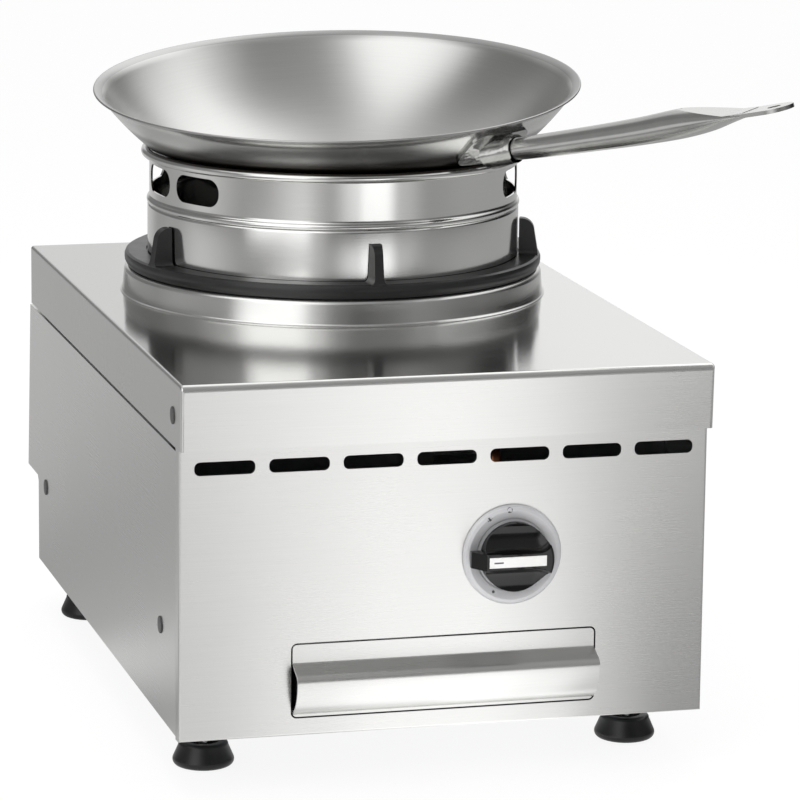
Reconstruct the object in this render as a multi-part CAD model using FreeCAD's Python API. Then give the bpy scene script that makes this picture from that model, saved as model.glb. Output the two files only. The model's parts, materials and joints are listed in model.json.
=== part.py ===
import FreeCAD, Part
import math
import os

from FreeCAD import Vector

# A table-top gas wok range: a stainless casing on four levelling feet, one round burner under a
# spun collar, a cast-iron support ring with five lugs, a slotted wok ring, a dished wok with its
# long handle, a control knob and a pull-out drip tray.
#
# Built in millimetres: +X to the right of the cook, +Y away from the cook, +Z up, floor at z = 0.
# Until the last step x = 0 is the middle of the casing and y = 0 is the front of the worktop.
# The last step moves everything, so that the origin is under the middle of the whole object.

# ---- driving dimensions ----
WIDTH = 400.0
DEPTH = 600.0
WORKTOP_Z = 305.5
APRON_HEIGHT = 48.5
APRON_LEAN = 2.0
WORKTOP_SHEET = 2.0
PANEL_SHEET = 1.5

CASING_HALF = 199.2
FRONT_Y = 12.0
FRONT_BOTTOM_Z = 39.5
SIDE_BOTTOM_Z = 41.7
SIDE_START_Y = 22.8
REAR_TOP_Y = 608.0
REAR_STEP_Y = 622.0
REAR_LOW_Y = 574.0
REAR_STEP_Z = 113.0
PANEL_TOP_Z = 253.8
BASE_Z = 43.2

# (y, z) of the cap screws on each side
APRON_SCREW = (27.2, 279.2)
REAR_SCREW = (539.0, 110.8)
LOW_SCREW = (75.0, 112.1)

VENT_COUNT = 7
VENT_PITCH = 55.1
VENT_SIZE = (44.8, 10.0)
VENT_Z = 242.0

BURNER_Y = 356.4
COLLAR_BASE_R = 168.9
COLLAR_TOP_R = 165.7
COLLAR_HEIGHT = 20.0
COLLAR_BORE_R = 149.5

SUPPORT_R = 165.5
SUPPORT_BOTTOM_Z = 326.0
SUPPORT_TOP_Z = 337.3
SUPPORT_BORE_R = 136.0
LUG_COUNT = 5
LUG_FIRST_DEG = -91.4
LUG_TOP_Z = 366.0
LUG_FOOT_R = 163.7
LUG_TOP_R = 160.4
LUG_CREST = 10.0

RING_R = 147.3
RING_SHEET = 1.5
RING_BOTTOM_Z = 336.4
RING_BEAD_Z = 378.4
RING_NECK_R = 145.8
RING_SLOT_DEG = 19.4
RING_SLOT_GAP_DEG = 4.1
RING_PAIR_COUNT = 5
RING_PAIR_PITCH_DEG = 53.7
RING_SLOT_Z = (387.9, 409.4)
RIM_ROLL_R = 148.5
RIM_ROLL_Z = 416.7
RIM_ROLL_TUBE = 3.75

WOK_SPHERE_R = 232.0
WOK_RIM_R = 193.8
WOK_SHEET = 1.8
WOK_LIP = 6.5
WOK_LIP_SLOPE_DEG = 28.0
WOK_TILT_TO_COOK_DEG = 5.05
WOK_TILT_SIDE_DEG = 2.45

# The handle points to the front right and leans a little about its own line.
HANDLE_DEG = -56.0
HANDLE_ROLL_DEG = 7.0
HANDLE_WALL = 1.4
HANDLE_HOLE_R = 5.0
HANDLE_TAB = ((400.0, 486.1), (429.2, 492.6))
HANDLE_TAB_HALF = 14.5
HANDLE_TAB_SHEET = 3.0
# (distance from the burner axis, height, width, thickness) along the handle
HANDLE_SECTIONS = (
    (175.0, 435.0, 19.0, 17.0),
    (210.8, 442.1, 18.5, 18.0),
    (265.0, 453.9, 20.0, 19.5),
    (306.5, 463.3, 22.0, 21.0),
    (344.6, 473.0, 25.0, 22.5),
    (372.0, 479.8, 28.5, 19.0),
    (391.1, 484.2, 30.0, 11.5),
    (408.0, 487.9, 29.6, 4.6),
)
# The pressed top of the handle's end: (distance, height) where it starts, where the tab starts, its end.
HANDLE_FLAT = ((345.5, 484.6), (392.0, 486.2), (412.0, 490.6))
BRACKET_Z = 436.5
BRACKET_SIZE = (64.0, 37.0)
BRACKET_CORNER = 12.0
BRACKET_SHEET = 2.6

KNOB_X = 50.0
KNOB_Z = 167.4
KNOB_R = 25.7
KNOB_BACK_Y = 6.3
KNOB_CROWN_Y = -13.2
KNOB_GRIP_HALF = 5.5
KNOB_SCOOP_R = 14.0
KNOB_SCOOP_END = 13.0
KNOB_POINTER_X = KNOB_X - 34.0
KNOB_INSERT_X = (KNOB_X - 24.0, KNOB_X + 19.5)
KNOB_INSERT_HALF = 3.9
KNOB_INSERT_PROUD = 0.5
DIAL_R = 37.5

TRAY_FRONT_HALF = 114.6
TRAY_FRONT_Z = (53.6, 107.9)
TRAY_GAP = 1.1
# (y, radius) of the rounded nose and of the long curve below it, both centred at one height
TRAY_NOSE = (1.7, 6.5)
TRAY_BELLY = (25.46, 30.26)
TRAY_NOSE_Z = 82.5
TRAY_HALF = 111.0
TRAY_Z = (58.0, 98.0)
TRAY_SHEET = 1.2
TRAY_DEPTH_Y = 500.0

FOOT_X = 164.3
FOOT_Y = (86.8, 534.7)
FOOT_R = 23.0
STUD_R = 4.95

BURNER_LOW_Z = 222.0
BURNER_NECK_Y = BURNER_Y - 62.0
TUBE_Z = 238.0
INJECTOR_Y = 168.0
NOSE_R = 8.0
NOSE_LENGTH = 16.0

VALVE_Y = (26.0, 74.0)
VALVE_STUD_X = 22.0
PIPE_R = 7.5
INLET_X = 150.0
INLET_Z = 78.0
INLET_THREAD_R = 10.48
INLET_THREAD_LENGTH = 17.0

CLEAR = 0.4
X_AXIS = Vector(1, 0, 0)
Y_AXIS = Vector(0, 1, 0)
Z_AXIS = Vector(0, 0, 1)
REAR_NORMAL = Vector(0, PANEL_TOP_Z - REAR_STEP_Z, REAR_STEP_Y - REAR_TOP_Y).normalize()
BURNER_AXIS = Vector(0, BURNER_Y, 0)
VALVE_INLET = Vector(KNOB_X + 17, 50, KNOB_Z)

# The pilot, the flame sensor and the spark electrode are drawn in front of the burner,
# then turned about its axis to the left, clear of the mixing tube.
PILOT_FOOT = Vector(0, BURNER_Y - 91, 250)
PILOT_ROW = (-14.0, 0.0, 14.0)
PILOT_TURN_DEG = -50.0

# The wok is a ball-shaped dish, so it seats in the round ring at any tilt about the ball's centre.
WOK_SEAT = WOK_SPHERE_R + RIM_ROLL_TUBE + CLEAR
WOK_CENTRE_Z = RIM_ROLL_Z + math.sqrt(WOK_SEAT**2 - RIM_ROLL_R**2)
WOK_CENTRE = Vector(0, BURNER_Y, WOK_CENTRE_Z)

nodes = {}


# ---- small helpers ----
def block(x0, x1, y0, y1, z0, z1):
    return Part.makeBox(x1 - x0, y1 - y0, z1 - z0, Vector(x0, y0, z0))


def rod(radius, start, end):
    along = end - start
    return Part.makeCylinder(radius, along.Length, start, along)


def pipe_piece(outer, inner, start, end):
    return rod(outer, start, end).cut(rod(inner, start, end))


def spun(points, centre=BURNER_AXIS, axis=Z_AXIS):
    """A closed (radius, height) outline turned a full circle about a vertical axis."""
    corners = [Vector(centre.x + r, centre.y, centre.z + z) for r, z in points]
    face = Part.Face(Part.makePolygon(corners + corners[:1]))
    return face.revolve(centre, axis, 360)


def spun_about_y(points, x, z):
    """A closed (radius, y) outline turned a full circle about a line along Y through (x, z)."""
    corners = [Vector(x + r, y, z) for r, y in points]
    face = Part.Face(Part.makePolygon(corners + corners[:1]))
    return face.revolve(Vector(x, 0, z), Y_AXIS, 360)


def profile_along_x(points, x0, x1):
    """A closed (y, z) outline pushed from x0 to x1."""
    corners = [Vector(x0, y, z) for y, z in points]
    face = Part.Face(Part.makePolygon(corners + corners[:1]))
    return face.extrude(Vector(x1 - x0, 0, 0))


def rounded_slab(width, height, corner, depth):
    """A rounded rectangle in the XZ plane about the origin, thickened along +Y."""
    slab = block(-width / 2, width / 2, 0, depth, -height / 2, height / 2)
    upright = [e for e in slab.Edges if abs(e.tangentAt(e.FirstParameter).y) > 0.99]
    return slab.makeFillet(corner, upright)


def moved(shape, x=0.0, y=0.0, z=0.0):
    copy = shape.copy()
    copy.translate(Vector(x, y, z))
    return copy


def turned(shape, centre, axis, degrees):
    copy = shape.copy()
    copy.rotate(centre, axis, degrees)
    return copy


def union(shapes):
    shapes = list(shapes)
    return shapes[0].multiFuse(shapes[1:]).removeSplitter() if len(shapes) > 1 else shapes[0]


def group(shapes):
    return Part.makeCompound(list(shapes))


def hexagon(across_flats, height, base, axis=Z_AXIS):
    """A hexagonal prism on a base point, pushed along an axis."""
    circum = across_flats / math.sqrt(3)
    corners = []
    for k in range(6):
        turn = math.radians(60 * k)
        corners.append(Vector(circum * math.cos(turn), circum * math.sin(turn), 0))
    prism = Part.Face(Part.makePolygon(corners + corners[:1])).extrude(Vector(0, 0, height))
    prism.Placement = FreeCAD.Placement(base, FreeCAD.Rotation(Z_AXIS, axis))
    return prism


def bent_tube(route, bend, outer, inner=0.0):
    """A tube along straight runs, joined by arcs of one bend radius."""
    edges = []
    start = route[0]
    for before, corner, after in zip(route, route[1:], route[2:]):
        back = (before - corner).normalize()
        ahead = (after - corner).normalize()
        half = back.getAngle(ahead) / 2
        cut = bend / math.tan(half)
        middle = corner + (back + ahead).normalize() * (bend / math.sin(half) - bend)
        first = corner + back * cut
        last = corner + ahead * cut
        edges.append(Part.LineSegment(start, first).toShape())
        edges.append(Part.Arc(first, middle, last).toShape())
        start = last
    edges.append(Part.LineSegment(start, route[-1]).toShape())
    wire = Part.Wire(edges)
    direction = route[1] - route[0]

    def swept(radius):
        circle = Part.Wire(Part.Circle(route[0], direction, radius).toShape())
        return wire.makePipeShell([circle], True, False)

    tube = swept(outer)
    return tube.cut(swept(inner)) if inner else tube


def arc_points(r, z, radius, start_deg, end_deg, steps):
    """Points on an arc in (radius, height), from one angle to another, ends included."""
    points = []
    for k in range(steps + 1):
        turn = math.radians(start_deg + (end_deg - start_deg) * k / steps)
        points.append((r + radius * math.cos(turn), z + radius * math.sin(turn)))
    return points


def upright_edges(shape, x, y, z_low):
    found = []
    for edge in shape.Edges:
        box = edge.BoundBox
        at_corner = abs(box.Center.x - x) < 0.6 and abs(box.Center.y - y) < 1.6
        if at_corner and box.ZLength > 5 and box.ZMin > z_low - 1:
            found.append(edge)
    return found


# ---- the casing ----
def worktop():
    """Pressed worktop: flat top, aprons on all four sides, a hem turned in under them."""
    apron_z = WORKTOP_Z - APRON_HEIGHT
    front_bend = 5.0
    side_bend = 2.5
    hem = 12.0

    def shell(inset):
        half = WIDTH / 2 - inset
        outline = [(inset, WORKTOP_Z - inset), (DEPTH - inset, WORKTOP_Z - inset)]
        outline += [(DEPTH - inset, apron_z), (APRON_LEAN + inset, apron_z)]
        solid = profile_along_x(outline, -half, half)
        front_edge = [
            e for e in solid.Edges
            if e.BoundBox.XLength > 100 and e.BoundBox.ZMin > apron_z + 5 and e.BoundBox.YMax < 50
        ]
        solid = solid.makeFillet(front_bend - inset, front_edge)
        side_edges = [
            e for e in solid.Edges
            if e.BoundBox.ZMin > WORKTOP_Z - inset - 0.1 and e.BoundBox.YLength > 100
        ]
        return solid.makeFillet(side_bend, side_edges) if inset == 0 else solid

    top = shell(0).cut(shell(WORKTOP_SHEET))
    hem_z = apron_z + WORKTOP_SHEET
    half = WIDTH / 2 - 0.2
    hems = [
        block(-half, -half + hem, APRON_LEAN + 2, DEPTH - 1, apron_z, hem_z),
        block(half - hem, half, APRON_LEAN + 2, DEPTH - 1, apron_z, hem_z),
        block(-half, half, APRON_LEAN + 1, hem, apron_z, hem_z),
        block(-half, half, DEPTH - hem, DEPTH - 1, apron_z, hem_z),
    ]
    hole = rod(COLLAR_BASE_R - 6, Vector(0, BURNER_Y, WORKTOP_Z - 5), Vector(0, BURNER_Y, WORKTOP_Z + 5))
    top = union([top] + hems).cut(hole)
    screw_hole = rod(2.8, Vector(-WIDTH, APRON_SCREW[0], APRON_SCREW[1]),
                     Vector(WIDTH, APRON_SCREW[0], APRON_SCREW[1]))
    return top.cut(screw_hole)


def collar():
    """Spun sheet collar welded on the worktop: flared foot, leaning wall, land, inner wall."""
    z = WORKTOP_Z
    top = z + COLLAR_HEIGHT
    outer = [(COLLAR_BASE_R, z), (COLLAR_BASE_R, z + 0.5), (COLLAR_BASE_R - 1.0, z + 0.8)]
    outer += [(COLLAR_BASE_R - 1.6, z + 1.7)]
    outer += [(COLLAR_TOP_R + 0.3, top - 4.2)]
    outer += arc_points(COLLAR_TOP_R - 3.7, top - 4.0, 4.0, 5, 90, 5)
    outer += arc_points(COLLAR_BORE_R + 3.0, top - 3.0, 3.0, 90, 180, 5)
    outer += [(COLLAR_BORE_R, z - 6.5), (COLLAR_BORE_R + 2, z - 6.5)]
    inner = [(COLLAR_BORE_R + 2, top - 3.2), (COLLAR_BORE_R + 3.2, top - 2)]
    inner += [(COLLAR_TOP_R - 4, top - 2), (COLLAR_TOP_R - 2, top - 4.4)]
    inner += [(COLLAR_BASE_R - 4.0, z + 1.5), (COLLAR_BASE_R - 4.0, z)]
    return spun(outer + inner)


def front_panel():
    """Front sheet: side returns, bottom return, seven vents, the tray opening, the valve hole."""
    half = CASING_HALF
    top = WORKTOP_Z - APRON_HEIGHT - 0.3
    sheet = PANEL_SHEET
    back = SIDE_START_Y - 0.4
    panel = block(-half, half, FRONT_Y, FRONT_Y + sheet, FRONT_BOTTOM_Z, top)
    returns = [
        block(-half, -half + sheet, FRONT_Y, back, FRONT_BOTTOM_Z, PANEL_TOP_Z),
        block(half - sheet, half, FRONT_Y, back, FRONT_BOTTOM_Z, PANEL_TOP_Z),
        block(-half, half, FRONT_Y, back, FRONT_BOTTOM_Z, FRONT_BOTTOM_Z + sheet),
    ]
    panel = union([panel] + returns)
    folds = []
    for x in (-half, half):
        folds += upright_edges(panel, x, FRONT_Y, 0)
    panel = panel.makeFillet(1.2, folds)
    vent = rounded_slab(VENT_SIZE[0], VENT_SIZE[1], 4.2, 20)
    cuts = []
    for k in range(VENT_COUNT):
        x = (k - (VENT_COUNT - 1) / 2) * VENT_PITCH
        cuts.append(moved(vent, x, FRONT_Y - 5, VENT_Z))
    low, high = TRAY_FRONT_Z
    window = rounded_slab(2 * (TRAY_FRONT_HALF + TRAY_GAP), high - low + 2 * TRAY_GAP, 4.5, 8)
    cuts.append(moved(window, 0, FRONT_Y - 3, (low + high) / 2))
    cuts.append(rod(11.0, Vector(KNOB_X, FRONT_Y - 5, KNOB_Z), Vector(KNOB_X, FRONT_Y + 5, KNOB_Z)))
    return panel.cut(group(cuts))


def side_panel(side):
    """Side sheet with a cut-away rear foot corner and a hem turned in on every edge."""
    sheet = PANEL_SHEET
    outline = [(SIDE_START_Y, SIDE_BOTTOM_Z), (REAR_LOW_Y, SIDE_BOTTOM_Z), (REAR_LOW_Y, REAR_STEP_Z - 4)]
    outline += [(REAR_LOW_Y + 4, REAR_STEP_Z), (REAR_STEP_Y, REAR_STEP_Z)]
    outline += [(REAR_TOP_Y, PANEL_TOP_Z), (SIDE_START_Y, PANEL_TOP_Z)]
    wall = profile_along_x(outline, CASING_HALF - sheet, CASING_HALF)
    inner = CASING_HALF - 0.2
    hems = [
        block(inner - 16, inner, SIDE_START_Y, REAR_TOP_Y, PANEL_TOP_Z - sheet, PANEL_TOP_Z),
        block(inner - 12, inner, SIDE_START_Y, REAR_LOW_Y, SIDE_BOTTOM_Z, SIDE_BOTTOM_Z + sheet),
    ]
    panel = union([wall] + hems)
    for y, z in (REAR_SCREW, LOW_SCREW):
        panel = panel.cut(rod(2.8, Vector(0, y, z), Vector(WIDTH, y, z)))
    return panel if side > 0 else panel.mirror(Vector(0, 0, 0), X_AXIS)


def rear_y(z):
    """Outer face of the leaning rear sheet at a height above the step."""
    share = (PANEL_TOP_Z - z) / (PANEL_TOP_Z - REAR_STEP_Z)
    return REAR_TOP_Y - 0.5 + (REAR_STEP_Y - REAR_TOP_Y) * share


def rear_panel():
    """Stepped rear sheet: leaning and vented above the step, with the gas inlet hole below it."""
    sheet = PANEL_SHEET
    half = CASING_HALF - sheet - 0.3
    top_z = PANEL_TOP_Z - 2
    outer = [(rear_y(top_z), top_z), (rear_y(REAR_STEP_Z), REAR_STEP_Z)]
    inner = [(y - sheet, z) for y, z in reversed(outer)]
    upper = profile_along_x(outer + inner, -half, half)
    shelf = block(-half, half, REAR_LOW_Y - sheet - 0.5, REAR_STEP_Y - 0.7, REAR_STEP_Z, REAR_STEP_Z + sheet)
    lower = block(-half, half, REAR_LOW_Y - sheet - 0.5, REAR_LOW_Y - 0.5, BASE_Z + 2, REAR_STEP_Z + 1)
    panel = union([upper, shelf, lower])
    vent = rounded_slab(60, 8, 3.5, 20)
    cuts = []
    for row in range(3):
        for column in range(4):
            cuts.append(moved(vent, (column - 1.5) * 86, REAR_TOP_Y - 4, 178 + row * 22))
    for place in rear_screw_places():
        cuts.append(rod(2.1, place - REAR_NORMAL * 4, place + REAR_NORMAL))
    hole = rod(12.7, Vector(INLET_X, REAR_LOW_Y - 6, INLET_Z), Vector(INLET_X, REAR_LOW_Y + 6, INLET_Z))
    return panel.cut(group(cuts + [hole]))


def base_plate():
    """Floor of the casing, with air slots and a hole over each levelling foot."""
    half = CASING_HALF - PANEL_SHEET - 0.3
    plate = block(-half, half, FRONT_Y + 2, REAR_LOW_Y - 3, BASE_Z, BASE_Z + 2)
    slot = rounded_slab(120, 14, 6.5, 10)
    slot.rotate(Vector(0, 0, 0), X_AXIS, 90)
    cuts = [moved(slot, x, y, BASE_Z - 4) for x in (-70, 70) for y in (200, 250, 300, 350, 400)]
    for x, y in foot_places():
        cuts.append(rod(6.0, Vector(x, y, BASE_Z - 4), Vector(x, y, BASE_Z + 6)))
    return plate.cut(group(cuts))


def foot_places():
    return [(x, y) for y in FOOT_Y for x in (-FOOT_X, FOOT_X)]


def foot_bosses():
    """Four threaded bosses, welded on the base plate over the feet."""
    bosses = []
    for x, y in foot_places():
        bottom = Vector(x, y, BASE_Z + 2)
        bosses.append(pipe_piece(10.0, STUD_R + 0.08, bottom, bottom + Z_AXIS * 14))
    return group(bosses)


def worktop_rails():
    """Two spacer bars that carry the worktop's hem on the side panels' top hems."""
    low = PANEL_TOP_Z
    high = WORKTOP_Z - APRON_HEIGHT
    inner = CASING_HALF - 4
    right = block(inner - 10, inner, 60, DEPTH - 40, low, high)
    return group([right, right.mirror(Vector(0, 0, 0), X_AXIS)])


def screw(place, head_direction, head_r, head_height, shank_r, shank_length):
    """A domed screw: the head stands out from its place, and the shank runs the other way."""
    bend = 0.35 * head_height
    head = rod(head_r, place, place + head_direction * head_height)
    rim = []
    for edge in head.Edges:
        height = (edge.BoundBox.Center - place).dot(head_direction)
        if abs(height - head_height) < 0.01:
            rim.append(edge)
    head = head.makeFillet(min(bend, head_r * 0.4), rim)
    return head.fuse(rod(shank_r, place, place - head_direction * shank_length)).removeSplitter()


def side_screws():
    """Six flat dark cap screws, three on each side: one in the apron, two in the side panel."""
    screws = []
    for side in (-1, 1):
        for x, (y, z) in ((WIDTH / 2, APRON_SCREW), (CASING_HALF, REAR_SCREW), (CASING_HALF, LOW_SCREW)):
            screws.append(screw(Vector(side * x, y, z), X_AXIS * side, 6.5, 1.0, 2.5, 9))
    return group(screws)


def rear_screw_places():
    return [Vector(x, rear_y(z), z) for x in (-180, 180) for z in (130, 240)]


def rear_screws():
    """Four small screws in the rear panel."""
    return group(screw(p, REAR_NORMAL, 4.0, 2.0, 1.9, 6) for p in rear_screw_places())


# ---- burner ----
def spill_bowl():
    """Spun bowl under the collar, open in the middle around the burner head."""
    rim_z = WORKTOP_Z - 6.5
    outline = [(COLLAR_BORE_R + 3, rim_z), (COLLAR_BORE_R - 2.5, rim_z), (112, 276), (82, 271), (80, 277)]
    outline += [(78.4, 277), (80.6, 269.3), (112.6, 274.4), (COLLAR_BORE_R - 1.8, rim_z - 1.6)]
    outline += [(COLLAR_BORE_R + 3, rim_z - 1.6)]
    bowl = spun(outline)
    foot = PILOT_FOOT
    slot = block(-22, 22, foot.y - 6, foot.y + 6, foot.z, foot.z + 40)
    slot = slot.makeFillet(5.5, [e for e in slot.Edges if e.BoundBox.ZLength > 20])
    return bowl.cut(beside_burner(slot))


def burner_body():
    """Cast burner: round mixing chamber, with the mixing tube's socket towards the front."""
    low = BURNER_LOW_Z
    chamber = spun([(0, low), (56, low), (68, low + 10), (68, low + 44), (62, low + 44), (62, low + 14)]
                   + [(52, low + 6), (0, low + 6)])
    neck = rod(24, Vector(0, BURNER_NECK_Y - 22, TUBE_Z), Vector(0, BURNER_NECK_Y + 2, TUBE_Z))
    channel = rod(17.2, Vector(0, BURNER_NECK_Y - 30, TUBE_Z), Vector(0, BURNER_NECK_Y + 14, TUBE_Z))
    return chamber.fuse(neck).cut(channel).removeSplitter()


def burner_cap():
    """Burner head with two rings of flame ports around a raised centre."""
    low = BURNER_LOW_Z + 44.4
    cap = spun([(0, low), (69, low), (69, low + 6), (60, low + 15), (30, low + 17), (22, low + 24)]
               + [(0, low + 24)])
    hollow = spun([(0, low - 1), (58, low - 1), (58, low + 5), (52, low + 10)]
                  + [(26, low + 12), (0, low + 12)])
    ports = []
    for radius, count, lean in ((63.0, 28, 0.8), (44.0, 20, 0.0)):
        for k in range(count):
            turn = 2 * math.pi * k / count
            foot = Vector(radius * math.cos(turn), BURNER_Y + radius * math.sin(turn), low + 2)
            out = Vector(lean * math.cos(turn), lean * math.sin(turn), 1).normalize()
            ports.append(rod(2.2, foot - out * 6, foot + out * 24))
    return cap.cut(hollow).cut(group(ports))


def mixing_tube():
    """Venturi tube from the air mouth to the burner's socket."""
    back = BURNER_NECK_Y - 4
    outline = [(13, 196), (22, 188), (24, 188), (24, 191), (15, 200), (15, 238), (17, back), (15, back)]
    return spun_about_y(outline + [(13, 238)], 0, TUBE_Z)


def air_shutter():
    """Round shutter with a hub: it slides on the injector holder's nose in front of the venturi."""
    disc = rod(24, Vector(0, 175, TUBE_Z), Vector(0, 176.6, TUBE_Z))
    hub = rod(11.5, Vector(0, INJECTOR_Y + 2, TUBE_Z), Vector(0, 175, TUBE_Z))
    bore = rod(NOSE_R + 0.06, Vector(0, INJECTOR_Y, TUBE_Z), Vector(0, 180, TUBE_Z))
    return union([disc, hub]).cut(bore)


def injector_holder():
    """Angle block that holds the injector in line with the venturi."""
    body = block(-11, 11, INJECTOR_Y - 16, INJECTOR_Y, TUBE_Z - 11, TUBE_Z + 11)
    nose = rod(NOSE_R, Vector(0, INJECTOR_Y, TUBE_Z), Vector(0, INJECTOR_Y + NOSE_LENGTH, TUBE_Z))
    bore = rod(4.0, Vector(0, INJECTOR_Y - 20, TUBE_Z), Vector(0, INJECTOR_Y + 20, TUBE_Z))
    return union([body, nose]).cut(bore)


def injector():
    """Brass nozzle screwed into the holder's nose."""
    nose_y = INJECTOR_Y + NOSE_LENGTH
    head = hexagon(13, 5, Vector(0, nose_y, TUBE_Z), Y_AXIS)
    tip = Part.makeCone(5, 3, 9, Vector(0, nose_y + 5, TUBE_Z), Y_AXIS)
    shank = rod(3.9, Vector(0, nose_y - 8, TUBE_Z), Vector(0, nose_y, TUBE_Z))
    jet = rod(0.8, Vector(0, nose_y - 9, TUBE_Z), Vector(0, nose_y + 15, TUBE_Z))
    return union([head, tip, shank]).cut(jet)


def burner_bridge():
    """Two crossbars between the sides, and a plate on them under the injector holder."""
    half = CASING_HALF - PANEL_SHEET
    bars = []
    for y in (BURNER_Y - 34, BURNER_Y + 34):
        bar = block(-half, half, y - 10, y + 10, BURNER_LOW_Z - 2.4, BURNER_LOW_Z - 0.4)
        ends = [
            block(x, x + 2, y - 10, y + 10, BURNER_LOW_Z - 24, BURNER_LOW_Z - 0.4)
            for x in (-half, half - 2)
        ]
        bars.append(union([bar] + ends))
    low, high = BURNER_LOW_Z - 2.4, BURNER_LOW_Z - 0.4
    plate = block(-36, 36, INJECTOR_Y - 20, INJECTOR_Y + 3, low, high)
    strips = [block(x - 4, x + 4, INJECTOR_Y - 20, BURNER_Y + 30, low, high) for x in (-32, 32)]
    spacer = block(-10, 10, INJECTOR_Y - 14, INJECTOR_Y - 2, BURNER_LOW_Z - 0.4, TUBE_Z - 11)
    rests = [
        block(x - 8, x + 8, y - 8, y + 8, high, BURNER_LOW_Z)
        for x in (-30, 30) for y in (BURNER_Y - 34, BURNER_Y + 34)
    ]
    return union(bars + strips + [plate, spacer] + rests)


def beside_burner(shape):
    return turned(shape, BURNER_AXIS, Z_AXIS, PILOT_TURN_DEG)


def pilot_point(dx, z):
    """A point on the turned pilot row, at a height above the floor."""
    turn = math.radians(PILOT_TURN_DEG)
    dy = PILOT_FOOT.y - BURNER_Y
    x = dx * math.cos(turn) - dy * math.sin(turn)
    y = dx * math.sin(turn) + dy * math.cos(turn)
    return Vector(x, BURNER_Y + y, z)


def pilot_bracket():
    """Bent strip on the bridge that carries the pilot, the flame sensor and the electrode."""
    foot = PILOT_FOOT
    near = foot.y + 8
    low = BURNER_LOW_Z - 0.4
    plate = block(-24, 24, foot.y - 8, near, foot.z - 2, foot.z)
    post = block(-7, 7, near - 1.6, near, low, foot.z)
    strap = block(-7, 7, near - 1.6, BURNER_Y - 60, low, low + 1.6)
    holes = [rod(3.2, foot + Vector(dx, 0, -6), foot + Vector(dx, 0, 6)) for dx in PILOT_ROW]
    return beside_burner(union([plate, post, strap]).cut(group(holes)))


def pilot_burner():
    """Small hooded pilot that lights the main ports."""
    foot = PILOT_FOOT
    body = rod(3.1, foot + Vector(0, 0, -12), foot + Vector(0, 0, 32))
    stop = rod(5.0, foot, foot + Vector(0, 0, 6))
    hood = block(-4, 4, foot.y - 3, foot.y + 14, foot.z + 32, foot.z + 33.6)
    return beside_burner(union([body, stop, hood]))


def thermocouple():
    """Flame sensor: a thin rod in a stepped sleeve."""
    foot = PILOT_FOOT + Vector(PILOT_ROW[2], 0, 0)
    sleeve = rod(3.1, foot + Vector(0, 0, -16), foot + Vector(0, 0, 14))
    stop = rod(4.8, foot, foot + Vector(0, 0, 3))
    tip = rod(1.6, foot + Vector(0, 0, 14), foot + Vector(0, 0, 34))
    return beside_burner(union([sleeve, stop, tip]))


def igniter():
    """Spark electrode's white ceramic sleeve."""
    foot = PILOT_FOOT + Vector(PILOT_ROW[0], 0, 0)
    sleeve = rod(3.1, foot + Vector(0, 0, -10), foot + Vector(0, 0, 22))
    stop = rod(5.0, foot, foot + Vector(0, 0, 4))
    return beside_burner(union([sleeve, stop]))


def igniter_wire():
    """Metal wire that stands out of the ceramic sleeve and bends towards the pilot's hood."""
    top = PILOT_FOOT + Vector(PILOT_ROW[0], 0, 22)
    route = [top, top + Vector(0, 0, 9), top + Vector(7, 0, 12)]
    return beside_burner(bent_tube(route, 2.5, 1.0))


# ---- gas train ----
def valve_body():
    """Brass valve behind the front panel, drilled for the plug and its spindle."""
    front, back = VALVE_Y
    barrel = rod(17, Vector(KNOB_X, front, KNOB_Z), Vector(KNOB_X, back, KNOB_Z))
    flange = block(KNOB_X - 27, KNOB_X + 27, front, front + 4, KNOB_Z - 9, KNOB_Z + 9)
    inlet = rod(11, Vector(KNOB_X, 50, KNOB_Z), VALVE_INLET + X_AXIS * 8)
    outlet = rod(9, Vector(KNOB_X, 60, KNOB_Z), Vector(KNOB_X, 60, KNOB_Z + 28))
    seat = rod(10.08, Vector(KNOB_X, front - 1, KNOB_Z), Vector(KNOB_X, back - 6, KNOB_Z))
    inlet_bore = rod(6, Vector(KNOB_X + 9, 50, KNOB_Z), VALVE_INLET + X_AXIS * 9)
    outlet_bore = rod(5, Vector(KNOB_X, 60, KNOB_Z + 9), Vector(KNOB_X, 60, KNOB_Z + 29))
    holes = [rod(2.1, place, place + Y_AXIS * 40) for place in valve_stud_places()]
    solid = union([barrel, flange, inlet, outlet])
    return solid.cut(group([seat, inlet_bore, outlet_bore] + holes))


def valve_stud_places():
    return [Vector(KNOB_X + dx, FRONT_Y + PANEL_SHEET, KNOB_Z) for dx in (-VALVE_STUD_X, VALVE_STUD_X)]


def valve_studs():
    """Two shouldered studs on the panel's back, with nuts behind the valve's flange."""
    shoulder = VALVE_Y[0] - FRONT_Y - PANEL_SHEET
    studs = []
    for place in valve_stud_places():
        sleeve = rod(3.5, place, place + Y_AXIS * shoulder)
        thread = rod(1.95, place + Y_AXIS * shoulder, place + Y_AXIS * (shoulder + 8))
        nut = hexagon(7, 3, place + Y_AXIS * (shoulder + 4), Y_AXIS)
        studs.append(union([sleeve, thread, nut]))
    return group(studs)


def piezo():
    """Spark generator clamped under the valve."""
    front = VALVE_Y[0] + 8
    box = block(KNOB_X - 9, KNOB_X + 9, front, front + 32, KNOB_Z - 34, KNOB_Z - 10)
    return box.cut(rod(17, Vector(KNOB_X, front - 1, KNOB_Z), Vector(KNOB_X, front + 40, KNOB_Z)))


def ignition_lead():
    """Insulated lead from the spark generator to the electrode."""
    low_z = KNOB_Z - 26
    end = pilot_point(PILOT_ROW[0], PILOT_FOOT.z - 10)
    start = Vector(KNOB_X, VALVE_Y[0] + 40, low_z)
    route = [start, Vector(KNOB_X, 140, low_z), Vector(end.x, 140, low_z), Vector(end.x, end.y, low_z), end]
    return bent_tube(route, 9, 1.6)


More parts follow.
